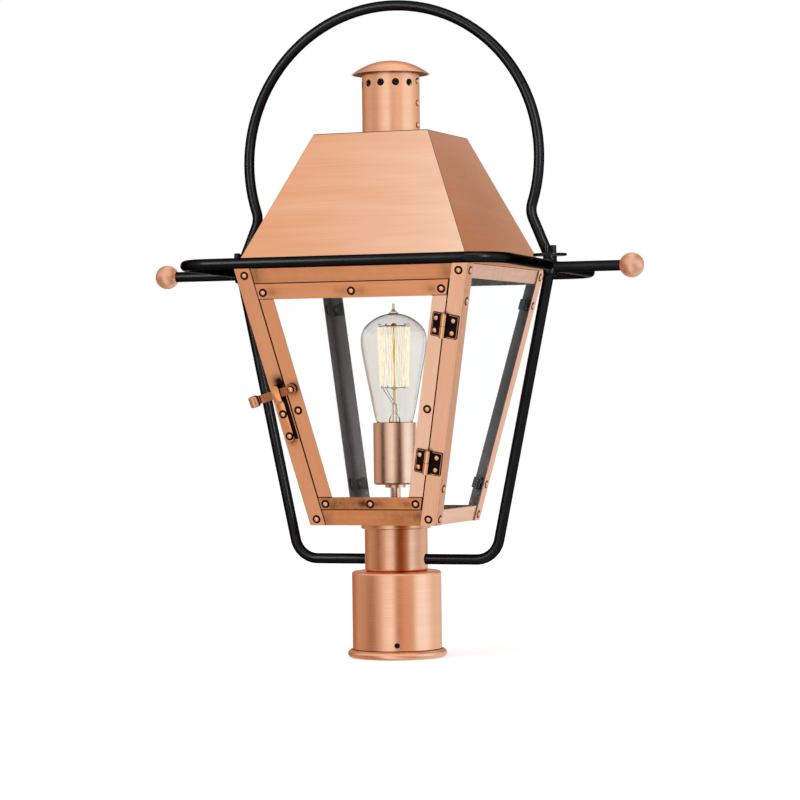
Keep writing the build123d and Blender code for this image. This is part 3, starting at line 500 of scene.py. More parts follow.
def black_post(spot, hand):
    """The black edge of a front post by the door, partly patina and partly painted shade of the gap, wider by the
    keeper for its painted shadow.
    """
    beside_keeper = hand < 0 and KEEPER_SPAN[0] < spot.z < KEEPER_SPAN[1]
    off = off_seam(spot, hand)
    edge = -0.2 < off < (KEEPER_BLACK if beside_keeper else BORDERS[hand])
    return edge and abs(above_face(spot)) < SEAM_DEPTH and not SEAM_BLACK < off < KEEPER_LINE


def black_door_rail(spot):
    """The black ends and outer edge of a door rail, partly patina and partly painted shade of the gaps, and its
    inner edge where it laps the stiles, a painted shadow.
    """
    off = max(off_seam(spot, -1), off_seam(spot, 1)) + DOOR_GAP
    lapped = off > -DOOR_STILE and LAP_LINES[0] < spot.z < LAP_LINES[1]
    return lapped or off > -SEAM_BLACK or not DOOR_LOW + RAIL_BLACK <= spot.z <= DOOR_HIGH - RAIL_BLACK


def cloud(marks, run, rise):
    """Soft dark marks, tarnish in some places and painted shadow in others: each a place, its reach along and
    across the strip, and its strength.
    """
    def depth(spot):
        total = 0.0
        for place, along, across, strength in marks:
            away = spot - place
            total += strength * exp(-(away.dot(run) / along) ** 2 - (away.dot(rise) / across) ** 2)
        return min(total, 1.0)
    return depth


def strip(node, along, shade, fold=0.0, black=None, cuts=(), marks=(), body="lantern"):
    """A sheet piece with softened edges, buffed outside and dark inside, black along its seams: partly patina,
    partly painted shade and shadow.
    """
    solid = cad_copy([node])
    if fold:
        corner = [
            edge for edge in solid.edges if edge.calc_length() > FOLD_LENGTH * MM and edge.is_manifold
            and all(facing_out(face) > OUTWARD for face in edge.link_faces)]
        round_off(solid, corner, fold, 4)
    soften(solid, SHEET_EDGE, LONG_EDGE)
    run = along.normalized()
    rise = run.cross(FACE_OUT).normalized()
    for direction, place in cuts:
        slice_up(solid, direction, [place])
    if marks:
        slice_up(solid, run, CUT_STEP)
        slice_up(solid, rise, CUT_STEP)
    for face in solid.faces:
        middle = face.calc_center_median() / MM
        face.material_index = 1 if facing_out(face) < -OUTWARD else 2 if black and black(middle) else 0
    lay_grain(solid, along)
    dress("sheet_" + node, solid, [node], SHEET_FINISHES, shade, body=body,
          smoke=cloud(marks, run, rise) if marks else None)


def latch_mark(z, off, along, across):
    """A black mark on the left post, partly grime and partly painted shade of the keeper and lever, at a height
    and a distance outside the seam.
    """
    return on_front(POST_FLANGE - half_at(z), z) + seam_line(-1)[1] * off, along, across, 1.0


def rail_ends(z, inset, along, across, strength):
    """Dark marks at both ends of a front rail, beside the posts."""
    return [(on_front(hand * (half_at(z) - POST_FLANGE - inset), z), along, across, strength) for hand in (-1, 1)]


def smoke_over(x, z, strength, along=ALL_OVER, across=ALL_OVER):
    """A wide dark mark on the front face."""
    return on_front(x, z), along, across, strength


# Each strip's shade is partly the sheet's own tone and partly painted shading: the left and lower strips deeper,
# the right-hand ones lighter
strip("corner_post_front_left", up_corner(-1, -1), 0.27, FOLD, lambda spot: black_post(spot, -1),
      cuts=[seam_cut(-1, off) for off in (SEAM_BLACK, KEEPER_LINE, KEEPER_BLACK)]
      + [(UP, z) for z in KEEPER_SPAN],
      marks=[latch_mark(LATCH_HEIGHT + 8, 4.5, 5.0, 5.5), latch_mark(LATCH_HEIGHT + 2, 3.0, 5.0, 4.0),
             latch_mark(KEEPER_LOW + 3, 7.4, 4.6, 4.6)])
# Painted shade on the right front post: its right flange is toned darker and darkened all over by a mark
strip("corner_post_front_right", up_corner(1, -1),
      lambda vert: 0.28 if any(face.normal.x > 0.8 for face in vert.link_faces) else -0.10,
      FOLD, lambda spot: black_post(spot, 1), cuts=[seam_cut(1, HINGE_BLACK)],
      marks=[smoke_over(half_at(CAGE_TOP), CAGE_TOP, 0.22, across=1.3)])
for side, hand in (("right", 1), ("left", -1)):
    strip("corner_post_rear_" + side, up_corner(hand, 1), 0.0, FOLD)
# The top rails at the sides and rear are darkened all along: painted shadow of the roof
for side, along, shade in (("right", BACK, -0.12), ("rear", ACROSS, 0.0), ("left", BACK, 0.0)):
    strip("bottom_rail_" + side, along, shade)
    strip("top_rail_" + side, along, shade, marks=[(UP * CAGE_TOP, ALL_OVER, ALL_OVER, 0.2)])
# The front rails: black in the gap round the door and behind it, painted shadow of the door; the top one darkened
# all over, painted shadow of the ring and roof; both darker at their ends, the bottom one also to the right and
# all over
for row, shade, edge, marks in (
    ("top", 0.42, DOOR_SPAN[1], rail_ends(344, 3.2, 7.0, 8.0, 0.4) + [smoke_over(0, CAGE_TOP, 0.09)]),
    ("bottom", 0.50, DOOR_SPAN[0], rail_ends(128, 2.0, 6.0, 6.0, 0.35)
     + [smoke_over(34, 127, 0.22, 26, 16), smoke_over(0, 127, 0.12)]),
):
    strip(row + "_rail_front", ACROSS, shade, black=lambda spot: DOOR_SPAN[0] < spot.z < DOOR_SPAN[1],
          cuts=[(UP, edge)], marks=marks)

latch_pivot = on_front(DOOR_RIVET_INSET - door_half(LATCH_HEIGHT), LATCH_HEIGHT)
# The left stile has a painted shadow round the end of the latch lever
for side, hand, shade, marks in (
    ("left", -1, 0.33, [(latch_pivot + ACROSS * 1.5, 6.0, 6.5, 0.9)]), ("right", 1, -0.45, ()),
):
    border = -DOOR_GAP - BORDERS[hand]
    strip("door_stile_" + side, up_corner(hand, -1), shade, black=lambda spot: off_seam(spot, hand) > border,
          cuts=[seam_cut(hand, border)], marks=marks, body="door")
rail_cuts = [seam_cut(hand, -DOOR_GAP - inset) for hand in (-1, 1) for inset in (SEAM_BLACK, DOOR_STILE)]
# Each door rail's black edge and lap line (partly patina and painted shade of the gap, and painted shadow where
# it laps the stiles), the tarnish smears beside its rivets, and its wider dark marks
for row, height, shade, lines, smears, smoke in (
    ("top", DOOR_TOP_RIVETS, 0.34, (DOOR_HIGH - RAIL_BLACK, LAP_LINES[1]),
     ((-1, 8), (0, -9), (0, 7), (1, -9)), ()),
    ("bottom", DOOR_BOTTOM_RIVETS, 0.50, (DOOR_LOW + RAIL_BLACK, LAP_LINES[0]),
     ((-1, 6), (0, -7), (0, 7), (1, -8)), ((-22, 0.34, 34, 14), (0, 0.12))),
):
    half = door_half(height) - DOOR_RIVET_INSET
    marks = [smoke_over(hand * half + shift, height, 0.38, 6.5, 3.2) for hand, shift in smears]
    marks += [smoke_over(x, height, *reach) for x, *reach in smoke]
    strip("door_" + row + "_rail", ACROSS, shade, black=black_door_rail,
          cuts=[(UP, line) for line in lines] + rail_cuts, marks=marks, body="door")

# The door stops are black all over: painted shade in the gaps round the door
fitted("door_stop_strips", ["door_stops"], [PATINA_AND_SHADE], (SHEET_EDGE, LONG_EDGE))
fitted("cage_floor_plate", ["cage_floor"], [SHEET_COPPER], (0.2, LONG_EDGE), lay=ACROSS)

# Roof, chimney and cap

ROOF_STEP = 9.0
ROOF_EDGE = 0.7
ROOF_EDGE_LENGTH = 50
ROOF_LIP = 0.75
# Darker patches on the roof's sides: a place, its reach up and along the eaves, and its strength
ROOF_DARK_PATCHES = [
    (Vector((hand * 88, y, z)), rise, run, strength) for hand in (-1, 1) for y, z, rise, run, strength in (
        (15, 405, 34, 46, 0.06), (-25, 385, 22, 40, 0.03), (-12, 445, 20, 46, 0.03))]
roof_smoke = cloud(ROOF_DARK_PATCHES, UP, BACK)


def roof_finish(face):
    """Finish of a roof face: dark inside, black round the top and along the ridges."""
    out = face.normal
    topmost = face.calc_center_median().z / MM > ROOF_TOP - ROOF_LIP and 0.1 < out.z < 0.98
    ridge = abs(out.x) > 0.5 and abs(out.y) > 0.15 and out.z > 0.1
    return 1 if facing_out(face) < -OUTWARD else 2 if topmost or ridge else 0


def roof_painted_shade(vert):
    """Painted shading of the roof: its front is lighter to the right, its sides to the rear and the top."""
    front = any(face.normal.y < -0.5 for face in vert.link_faces)
    across, back = vert.co.x / (CAGE_TOP_HALF * MM), vert.co.y / (CAGE_TOP_HALF * MM)
    rise = (vert.co.z / MM - CAGE_TOP) / (ROOF_TOP - CAGE_TOP) - 0.5
    return 0.04 - 0.34 * across - 0.14 * across ** 2 if front else 0.05 - 0.25 * back - 0.35 * rise


fitted("roof_sheet", ["roof_shell"], SHEET_FINISHES, (ROOF_EDGE, ROOF_EDGE_LENGTH),
       [(direction, ROOF_STEP) for direction in (ACROSS, BACK, UP)], roof_finish, "level", shade=roof_painted_shade,
       smoke=lambda spot: roof_smoke(spot) if abs(spot.x) > abs(spot.y) else 0.0)


def round_painted_shade(*marks, base=0.0):
    """Painted shading of a round piece: soft bands, each with its degrees from the front, reach and depth."""
    def depth(vert):
        turn = degrees(atan2(vert.co.x, -vert.co.y))
        return base + sum(
            much * exp(-(((turn - at + 180) % 360 - 180) / reach) ** 2) for at, reach, much in marks)
    return depth


def turned(name, node, metal, shade=0.0, inside=True, lay="round", band=()):
    """A round copper piece with lathe lines round it, dark inside and in a band of height."""
    def pick(face):
        banded = band and band[0] < face.calc_center_median().z / MM < band[1]
        return 2 if banded else 1 if inside and facing_out(face) < -OUTWARD else 0
    fitted(name, [node], (metal, INNER_COPPER, PATINA_AND_SHADE), (), [(UP, band)], pick, lay, shade=shade, smooth=True)


# Painted light on the chimney, lighter to the right and in two bands near the front; painted shade on its dome,
# darker on its right and front-left
turned("chimney_wall", "chimney_tube", TURNED_COPPER,
       round_painted_shade((140, 32, -0.35), (18, 12, -0.32), (36, 10, -0.22)), band=(ROOF_TOP - 9, ROOF_TOP + 0.5))
turned("chimney_dome", "chimney_cap", TURNED_COPPER, round_painted_shade((80, 34, 0.4), (-45, 30, 0.35)))
# The fitter's dark band at the top of its bead is painted shade in the crease
turned("fitter_wall", "fitter_cup", TURNED_COPPER, band=(BEAD_HEIGHT - 0.05, BEAD_HEIGHT + 0.5))
# The collar's dark bands are painted reflection and shade; elsewhere it is painted lighter
turned("collar_ring", "collar", TONED_COPPER,
       round_painted_shade((29, 12, 0.76), (62, 10, 0.38), (101, 14, 0.26), (-128, 22, 0.35), base=-0.25))
turned("socket_shell", "socket_cover", SATIN_COPPER)
turned("arm_ball_pair", "arm_balls", BALL_COPPER, inside=False, lay="ball")

# Rivets: one tree sets a domed head, a dark ring, partly patina and partly painted shadow, and a shank on every
# place

RIVET_SIZES = {
    "Head diameter": 4.7 * MM,
    "Head height": 1.9 * MM,
    "Ring diameter": 7.7 * MM,
    "Ring height": 0.16 * MM,
    "Shank diameter": 3.2 * MM,
    "Shank length": 2.6 * MM,
}


def new_tree(name, given, result):
    """A geometry tree with named inputs, each of a kind, and one output."""
    tree = bpy.data.node_groups.new(name, "GeometryNodeTree")
    for label, kind in given.items():
        tree.interface.new_socket(label, in_out="INPUT", socket_type="NodeSocket" + kind)
    tree.interface.new_socket(result, in_out="OUTPUT", socket_type="NodeSocketGeometry")
    return tree, add(tree, "GroupInput").outputs


def rivet_tree():
    """Geometry nodes that put a rivet on each point, along its own direction."""
    tree, given = new_tree(
        "copper_rivets", {"Places": "Geometry", **dict.fromkeys(RIVET_SIZES, "Float")}, "Rivets")
    head, collar, stem = (
        add(tree, "Math", {0: given[piece + " diameter"], 1: 0.5}, operation="MULTIPLY")
        for piece in ("Head", "Ring", "Shank"))
    # The head is a ball made flatter, with its lower half pressed into a flat seat
    flat = add(tree, "Math", {0: given["Head height"], 1: head}, operation="DIVIDE")
    squeeze = add(tree, "CombineXYZ", {"X": 1.0, "Y": 1.0, "Z": flat})
    dome = add(tree, "MeshUVSphere", {"Segments": 24, "Rings": 14, "Radius": head})
    dome = add(tree, "Transform", {"Geometry": dome, "Scale": squeeze})
    spot = add(tree, "SeparateXYZ", {0: add(tree, "InputPosition")}).outputs
    raised = add(tree, "Math", {0: spot["Z"], 1: 0.0}, operation="MAXIMUM")
    seated = add(tree, "CombineXYZ", {"X": spot["X"], "Y": spot["Y"], "Z": raised})
    dome = add(tree, "SetPosition", {"Geometry": dome, "Position": seated})
    above = add(tree, "Compare", {0: spot["Z"], 1: 0.01 * MM}, data_type="FLOAT", operation="GREATER_THAN")
    dome = add(tree, "SetShadeSmooth", {"Geometry": dome, "Shade Smooth": above})
    ring = add(tree, "MeshCylinder", {"Vertices": 24, "Radius": collar, "Depth": given["Ring height"]})
    shank = add(tree, "MeshCylinder", {"Vertices": 16, "Radius": stem, "Depth": given["Shank length"]})
    sunk = add(tree, "Math", {0: given["Shank length"], 1: -0.5}, operation="MULTIPLY")
    down = add(tree, "CombineXYZ", {"Z": sunk})
    shank = add(tree, "Transform", {"Geometry": shank, "Translation": down})
    shank = add(tree, "SetShadeSmooth", {"Geometry": shank, "Shade Smooth": False})
    ring, shank = (
        add(tree, "StoreNamedAttribute", {"Geometry": piece, "Name": mark, "Value": True},
            data_type="BOOLEAN", domain="FACE") for piece, mark in ((ring, "dark"), (shank, "tail")))
    rivet = add(tree, "JoinGeometry")
    for piece in (dome, ring, shank):
        feed(tree, rivet, {0: piece})
    out = add(tree, "InputNamedAttribute", {"Name": "out"}, data_type="FLOAT_VECTOR")
    turn = add(tree, "AlignRotationToVector", {"Vector": out}, axis="Z")
    done = add(tree, "InstanceOnPoints", {"Points": given["Places"], "Instance": rivet, "Rotation": turn})
    done = add(tree, "RealizeInstances", {"Geometry": done})
    done = add(tree, "SetMaterial", {"Geometry": done, "Material": BRIGHT_COPPER})
    for mark, finish in (("dark", PATINA_AND_SHADE), ("tail", INNER_COPPER)):
        marked = add(tree, "InputNamedAttribute", {"Name": mark}, data_type="BOOLEAN")
        done = add(tree, "SetMaterial", {"Geometry": done, "Selection": marked, "Material": finish})
    add(tree, "GroupOutput", {0: done})
    return tree


def grow(name, mesh, tree, values):
    """Runs a tree on a mesh and gives a plain mesh."""
    seed = show(name + "_seed", mesh)
    modifier = seed.modifiers.new("grow", "NODES")
    modifier.node_group = tree
    for item in tree.interface.items_tree:
        if item.item_type == "SOCKET" and item.in_out == "INPUT" and item.name in values:
            modifier[item.identifier] = values[item.name]
    ready = seed.evaluated_get(bpy.context.evaluated_depsgraph_get())
    grown = bpy.data.meshes.new_from_object(ready)
    seed.modifiers.remove(modifier)
    bpy.data.objects.remove(seed)
    grown.name = name
    return grown


RIVETS = rivet_tree()


def rivets(name, places, node, body="lantern", sizes=RIVET_SIZES):
    """All the rivets of a node, from pairs of a point in millimetres and a direction."""
    mesh = bpy.data.meshes.new(name + "_places")
    mesh.from_pydata([spot * MM for spot, out in places], [], [])
    layer = mesh.attributes.new("out", "FLOAT_VECTOR", "POINT")
    for number, (spot, out) in enumerate(places):
        layer.data[number].vector = out
    put(name, grow(name, mesh, RIVETS, sizes), body, [node])


def to_side(spot, number):
    """A vector turned from the front face to the right, rear and left faces."""
    return Matrix.Rotation(number * pi / 2, 3, "Z") @ spot


def seam_point(z, across, up, out):
    """A point across and up from a place on the right seam, in millimetres."""
    along, beside = seam_line(1)
    return on_front(door_half(z) + DOOR_GAP / 2, z, out) + beside * across + along * up


def leaf_places(across, out):
    """Rivet places of the hinge leaves on one side of the seam."""
    return [(seam_point(z, across, end * HINGE_RIVET_PITCH, out), FACE_OUT)
            for z in HINGE_HEIGHTS for end in (-0.5, 0.5)]


seam_out = Matrix.Rotation(radians(SEAM_TURN), 3, "Z") @ -BACK
rivets("chimney_rivet_heads", [(seam_out * CHIMNEY_RADIUS + UP * z, seam_out) for z in SEAM_RIVETS],
       "chimney_rivets", sizes={**RIVET_SIZES, "Head diameter": 5.4 * MM, "Ring diameter": 5.9 * MM})

cage_places = [
    (to_side(on_front(hand * (half_at(z) - RIVET_INSET), z), number), to_side(FACE_OUT, number))
    for number in range(4) for z in RAIL_RIVETS + (CLIP_RIVETS if number else ()) for hand in (-1, 1)]
cage_places += leaf_places(POST_LEAF_RIVET, HINGE_LEAF)
cage_places += [
    (on_front(KEEPER_INSET - half_at(z), z, KEEPER_SHEET), FACE_OUT)
    for z in (KEEPER_LOW + rise for rise in KEEPER_RIVETS)]
rivets("cage_rivet_heads", cage_places, "cage_rivets")

door_places = [
    (on_front(hand * (door_half(z) - DOOR_RIVET_INSET), z, out), FACE_OUT)
    for z, out, spread in (
        (STILE_RIVETS, DOOR_LIFT, (-1, 1)), (DOOR_TOP_RIVETS, DOOR_LIFT + SHEET, (-1, 0, 1)),
        (DOOR_BOTTOM_RIVETS, DOOR_LIFT + SHEET, (-1, 0, 1))) for hand in spread]
rivets("door_rivet_heads", door_places + leaf_places(-DOOR_LEAF_RIVET, DOOR_LIFT + HINGE_LEAF),
       "door_rivets", "door")

# Hinges and latch

LEAF_TOP = 1.5
BELOW_ALL = -9.0
FITTING_EDGE = 1.2
GRIP_REACH = 30.0


def hardware(name, node, rim, seat=BELOW_ALL, metal=BRIGHT_COPPER, shade=0.0, wall=0.35, step=(),
             body="lantern"):
    """Small copper fittings with black side walls, which are painted shade, and black below seat."""
    def pick(face):
        low = above_face(face.calc_center_median() / MM) < seat
        return 1 if low or abs(face.normal.dot(FACE_OUT)) < wall else 0
    fitted(name, [node], (metal, PATINA_AND_SHADE), (rim, FITTING_EDGE), [(ACROSS, step)], pick, "level",
           shade=shade, smooth=True, body=body)


def lever_tone_and_shade(vert):
    """Tone of the latch lever: brown, with painted shade deepest by its eye, and a painted highlight on the grip.
    """
    away = (vert.co / MM - latch_pivot).length
    return -0.1 if away > GRIP_REACH else 0.26 + 0.08 * exp(-((away - 10) / 7) ** 2)


hardware("hinge_leaves_on_post", "hinge_post_leaves", 0.25, LEAF_TOP)
hardware("hinge_leaves_on_door", "hinge_door_leaves", 0.25, LEAF_TOP, body="door")
hardware("hinge_pin_pair", "hinge_pins", 0.2)
hardware("latch_keeper_strip", "latch_keeper", 0.3, metal=SHEET_COPPER, shade=0.45)
hardware("latch_lever_bar", "latch_lever", 0.3, metal=TONED_COPPER, shade=lever_tone_and_shade, step=2.5, body="latch")
hardware("latch_pin_head", "latch_pin", 0.2, wall=0.72, body="door")

# Rod frame: bars bent along their centre lines

ARC_STEP = radians(3)
ROD_SIDES = 32
WIRE_SIDES = 8


def bar_tree():
    """Geometry nodes that carry a round bar along a line."""
    tree, given = new_tree(
        "bent_bar", {"Line": "Geometry", "Bar diameter": "Float", "Sides": "Int", "Finish": "Material"}, "Bar")
    line = add(tree, "MeshToCurve", {"Mesh": given["Line"]})
    radius = add(tree, "Math", {0: given["Bar diameter"], 1: 0.5}, operation="MULTIPLY")
    section = add(tree, "CurvePrimitiveCircle", {"Resolution": given["Sides"], "Radius": radius})
    done = add(tree, "CurveToMesh", {"Curve": line, "Profile Curve": section, "Fill Caps": True})
    done = add(tree, "SetShadeSmooth", {"Geometry": done})
    done = add(tree, "RealizeInstances", {"Geometry": done})
    done = add(tree, "SetMaterial", {"Geometry": done, "Material": given["Finish"]})
    add(tree, "GroupOutput", {0: done})
    return tree


BARS = bar_tree()


def arc(centre, radius, start, end, steps=0):
    """Points on an arc in the XZ plane, in millimetres."""
    steps = steps or max(2, int(abs(end - start) / ARC_STEP))
    turns = [start + (end - start) * step / steps for step in range(steps + 1)]
    return [Vector((centre[0] + radius * cos(turn), 0, centre[1] + radius * sin(turn))) for turn in turns]


def bent(points, radius, closed=False):
    """A line through some corners, each bent to a radius."""
    line = []
    count = len(points)
    for number, corner in enumerate(points):
        if not closed and number in (0, count - 1):
            line.append(corner)
            continue
        before = (points[number - 1] - corner).normalized()
        after = (points[(number + 1) % count] - corner).normalized()
        half = before.angle(after) / 2
        middle = corner + (before + after).normalized() * radius / sin(half)
        first, last = corner + before * radius / tan(half), corner + after * radius / tan(half)
        arm, end = first - middle, last - middle
        swing = arm.angle(end)
        axis = arm.cross(end).normalized()
        steps = max(2, int(swing / ARC_STEP))
        line += [middle + Matrix.Rotation(swing * step / steps, 3, axis) @ arm for step in range(steps + 1)]
    return line


def bar(name, lines, nodes=(), closed=False, size=ROD, sides=WIRE_SIDES, finish=BRIGHT_COPPER,
        body="lantern"):
    """Rods or wires along some centre lines, each a list of points."""
    mesh = bpy.data.meshes.new(name + "_line")
    points, edges = [], []
    for line in lines:
        start = len(points)
        points += [spot * MM for spot in line]
        edges += [(start + step, start + step + 1) for step in range(len(line) - 1)]
        if closed:
            edges.append((len(points) - 1, start))
    mesh.from_pydata(points, edges, [])
    sizes = {"Bar diameter": size * MM, "Sides": sides, "Finish": finish}
    return put(name, grow(name, mesh, BARS, sizes), body, nodes)


def rod(node, line, ending="_bar", closed=False):
    """A black rod of the frame."""
    return bar(node + ending, [line], [node], closed, ROD, ROD_SIDES, POWDER_COAT)


LINE_INSET = 0.9
LINE_SUNK = 0.05
LINE_START = 4.0
LEAF_SPAN = 30
KNUCKLE = 5


def leaf_lines(name, node, body, side):
    """A worn copper line just inside the border of each hinge leaf."""
    along, across = seam_line(1)
    loops = []
    for z in HINGE_HEIGHTS:
        hub = seam_point(z, 0, 0, 0)
        spots = [vert.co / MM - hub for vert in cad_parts[node].data.vertices]
        spots = [spot for spot in spots if spot.length < LEAF_SPAN]
        top = max(spot.dot(FACE_OUT) for spot in spots if abs(spot.dot(across)) > KNUCKLE) - LINE_SUNK
        far = max(spot.dot(across) * side for spot in spots) - LINE_INSET
        high = max(spot.dot(along) for spot in spots) - LINE_INSET
        low = min(spot.dot(along) for spot in spots) + LINE_INSET
        loops.append([hub + FACE_OUT * top + across * side * reach + along * rise for reach, rise in (
            (LINE_START, low), (far, low), (far, high), (LINE_START, high))])
    bar(name, loops, size=0.55, body=body)


leaf_lines("hinge_lines_on_post", "hinge_post_leaves", "lantern", 1)
leaf_lines("hinge_lines_on_door", "hinge_door_leaves", "door", -1)

bend_z = WAIST_HEIGHT - HOOP_CENTRE
bend_x = sqrt((HOOP_RADIUS + WAIST_BEND) ** 2 - bend_z ** 2)
foot = HUB_TOP - WAIST_HEIGHT, HOOP_FOOT - bend_x
foot_turn = atan2(*foot) - acos(WAIST_BEND / hypot(*foot))
arch_turn = atan2(-bend_z, -bend_x)
low_turn = atan2(bend_z, bend_x)
arch = arc((0, HOOP_CENTRE), HOOP_RADIUS, low_turn, pi - low_turn)
leg = [Vector((HOOP_FOOT, 0, HUB_TOP))]
leg += arc((bend_x, WAIST_HEIGHT), WAIST_BEND, foot_turn, arch_turn - 2 * pi)
rods = [rod("hoop", leg + arch[1:-1] + [Vector((-spot.x, 0, spot.z)) for spot in reversed(leg)], "_rod")]

tilt = Matrix.Rotation(radians(-RING_TILT), 3, "X")
ring_corners = [tilt @ Vector((RING_HALF * x, RING_HALF * y, 0)) + UP * RING_HEIGHT
                for x, y in ((1, 1), (-1, 1), (-1, -1), (1, -1))]
rods.append(rod("ring", bent(ring_corners, RING_CORNER, True), "_rod", True))

# Where the side rods end under the hubs, and where the arms start inside them
HUB_INSET = 1.2
HUB_DROP = 6.0
ARM_INSET = 2.0
for side, hand in (("left", -1), ("right", 1)):
    corners = [Vector((hand * x, 0, z)) for x, z in (
        (RING_HALF - HUB_INSET, ARM_HEIGHT - HUB_DROP), (SIDE_ROD_CORNER, SIDE_ROD_HEIGHT),
        (SIDE_ROD_END, SIDE_ROD_HEIGHT))]
    rods.append(rod("side_rod_" + side, bent(corners, SIDE_ROD_BEND)))
    arm_line = [Vector((hand * x, 0, ARM_HEIGHT)) for x in (RING_HALF + ARM_INSET, BALL_REACH - BALL_SEAT)]
    rods.append(rod("arm_" + side, arm_line))
for name, nodes in (
    ("hub_pair", ["hub_left", "hub_right"]), ("hub_plate_pair", ["hub_plates"]), ("hub_stud_set", ["hub_studs"]),
):
    rods.append(fitted(name, nodes, [POWDER_COAT], (0.4, 0.3), smooth=True, slot="black_rod"))
for piece in rods:
    piece.visible_glossy = False

# Glass

glass = [
    fitted("pane_" + node, [node], [PANE_GLASS], (0.3, LONG_EDGE), body=body, slot="clear_glass")
    for node, body in (
        ("glass_right", "lantern"), ("glass_rear", "lantern"), ("glass_left", "lantern"), ("door_glass", "door"))]
for node, body in (("glass_clips", "lantern"), ("door_glass_clips", "door")):
    fitted("black_" + node, [node], [CLIP_BLACK], (SHEET_EDGE, 2), body=body, slot="blackened_clip")

# Lamp

TIP_HEIGHT = 4.6
tip_foot = max(vert.co.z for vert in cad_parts["bulb_glass"].data.vertices) - TIP_HEIGHT * MM
glass.append(fitted(
    "bulb_envelope", ["bulb_glass"], (BULB_GLASS, TIP_GLASS), smooth=True, slot="bulb_glass",
    pick=lambda face: 1 if face.calc_center_median().z > tip_foot else 0))
for piece in glass:
    piece.visible_shadow = False
    piece.visible_glossy = False


def spun(name, outline, slot, nodes, material):
    """A piece turned about the lamp's axis from pairs of radius and height."""
    solid = bmesh.new()
    ring = [solid.verts.new(Vector((radius, 0, z)) * MM) for radius, z in outline]
    edges = [solid.edges.new(pair) for pair in zip(ring, ring[1:])]
    bmesh.ops.spin(solid, geom=ring + edges, axis=UP, cent=(0, 0, 0), angle=2 * pi, steps=ROD_SIDES)
    bmesh.ops.remove_doubles(solid, verts=solid.verts, dist=MERGE)
    bmesh.ops.recalc_face_normals(solid, faces=solid.faces)
    dress(name, solid, nodes, [material], smooth=True, slot=slot)


STEM_LOW = 208.6
ROD_LOW = 228.0
SPIDER_LOW = 243.4
SPIDER_HIGH = 299.4
ROD_TOP = 301.8
spun("bulb_glass_stem",
     ((0, STEM_LOW), (5.2, STEM_LOW), (5.3, 213), (4.6, 216.5), (2.6, 219), (2.1, 220.4), (2.9, 222.6),
      (2.2, 224.6), (1.8, 225.4), (2.5, 227.4), (1.6, 229.2), (0, 229.6)),
     "bulb_glass", ["bulb_mount"], STEM_GLASS)
spun("bulb_gilt_rod",
     ((0, ROD_LOW), (1.2, ROD_LOW), (1.2, SPIDER_LOW - 1.6), (2.4, SPIDER_LOW - 1.2), (2.9, SPIDER_LOW),
      (2.4, SPIDER_LOW + 1.2), (1.25, SPIDER_LOW + 1.6), (1.25, SPIDER_HIGH - 1.8), (2.4, SPIDER_HIGH - 1.3),
      (3.0, SPIDER_HIGH), (2.3, SPIDER_HIGH + 1.2), (1.3, ROD_TOP), (0, ROD_TOP + 0.5)),
     "lamp_brass", (), GILT_ROD)

# Spider wires with curled ends, the leads, and the strands that hang between the spiders
ARMS = 9
HIGH_REACH = 14.4
LOW_REACH = 12.6
CURL = 1.1
CURL_STEPS = 8
curl = arc((0, CURL), CURL, -pi / 2, pi, CURL_STEPS)
spider = []
for height, reach in ((SPIDER_HIGH, HIGH_REACH), (SPIDER_LOW, LOW_REACH)):
    for number in range(ARMS):
        turn = 2 * pi * (number + 0.5) / ARMS
        out = Vector((cos(turn), sin(turn), 0))
        tip = out * (reach - CURL) + UP * (height - 0.2)
        line = [out * 2.0 + UP * height, out * reach * 0.6 + UP * (height + 0.5)]
        spider.append(line + [tip + out * spot.x + UP * spot.z for spot in curl])
bar("bulb_spider_wires", spider, size=0.42, finish=NICKEL_WIRE)

LEAD_SPREAD = 1.4
leads = [[Vector(spot) for spot in (
    (lead, 0, 209), (lead * 0.8, 0, 221), (lead * 0.9, 0, 228.6), (lead - 5.5, -1.0, 237),
    (lead - 10.4, -1.5, 245.6))] for lead in (-LEAD_SPREAD, LEAD_SPREAD)]
bar("bulb_lead_wires", leads, size=0.55, finish=LEAD_WIRE)

STRANDS = 34
STRAND_STEPS = 8
STRAND_GAP = 0.8
SWAY = 0.55
SWING = 0.045
strands = []
for number in range(STRANDS):
    line = []
    for step in range(STRAND_STEPS + 1):
        share = step / STRAND_STEPS
        reach = LOW_REACH + (HIGH_REACH - LOW_REACH) * share + SWAY * sin(3.7 * number + step * 1.9)
        turn = 2 * pi * number / STRANDS + SWING * sin(2.3 * number + step * 1.3)
        rise = SPIDER_LOW + STRAND_GAP + (SPIDER_HIGH - SPIDER_LOW - 2 * STRAND_GAP) * share
        line.append(Vector((reach * cos(turn), reach * sin(turn), rise)))
    strands.append(line)
bar("bulb_strands", strands, ["bulb_filament"], size=0.66, finish=FILAMENT)

for name, node, slot, finish in (
    ("bulb_screw_base", "bulb_base", "lamp_brass", LAMP_BRASS),
    ("socket_body", "lamp_socket", "phenolic", PHENOLIC),
    ("set_screw_trio", "fitter_set_screws", "zinc_steel", BLACK_STEEL),
):
    fitted(name, [node], [finish], smooth=True, slot=slot)

# Bright copper rims round the set screws' holes, standing in for the glint on their edges
SCREWS = 3
SCREW_RIM = 2.7
RIM_STEPS = 24
circle = arc((0, SCREW_HEIGHT), SCREW_RIM, 0, 2 * pi, RIM_STEPS)[:-1]
rims = []
for number in range(SCREWS):
    turn = radians(SCREW_TURN) + 2 * pi * number / SCREWS
    out = Vector((sin(turn), -cos(turn), 0))
    rims.append([out * sqrt(FITTER_RADIUS ** 2 - spot.x ** 2) + UP.cross(out) * spot.x + UP * spot.z
                 for spot in circle])
bar("set_screw_rims", rims, closed=True, size=0.7)

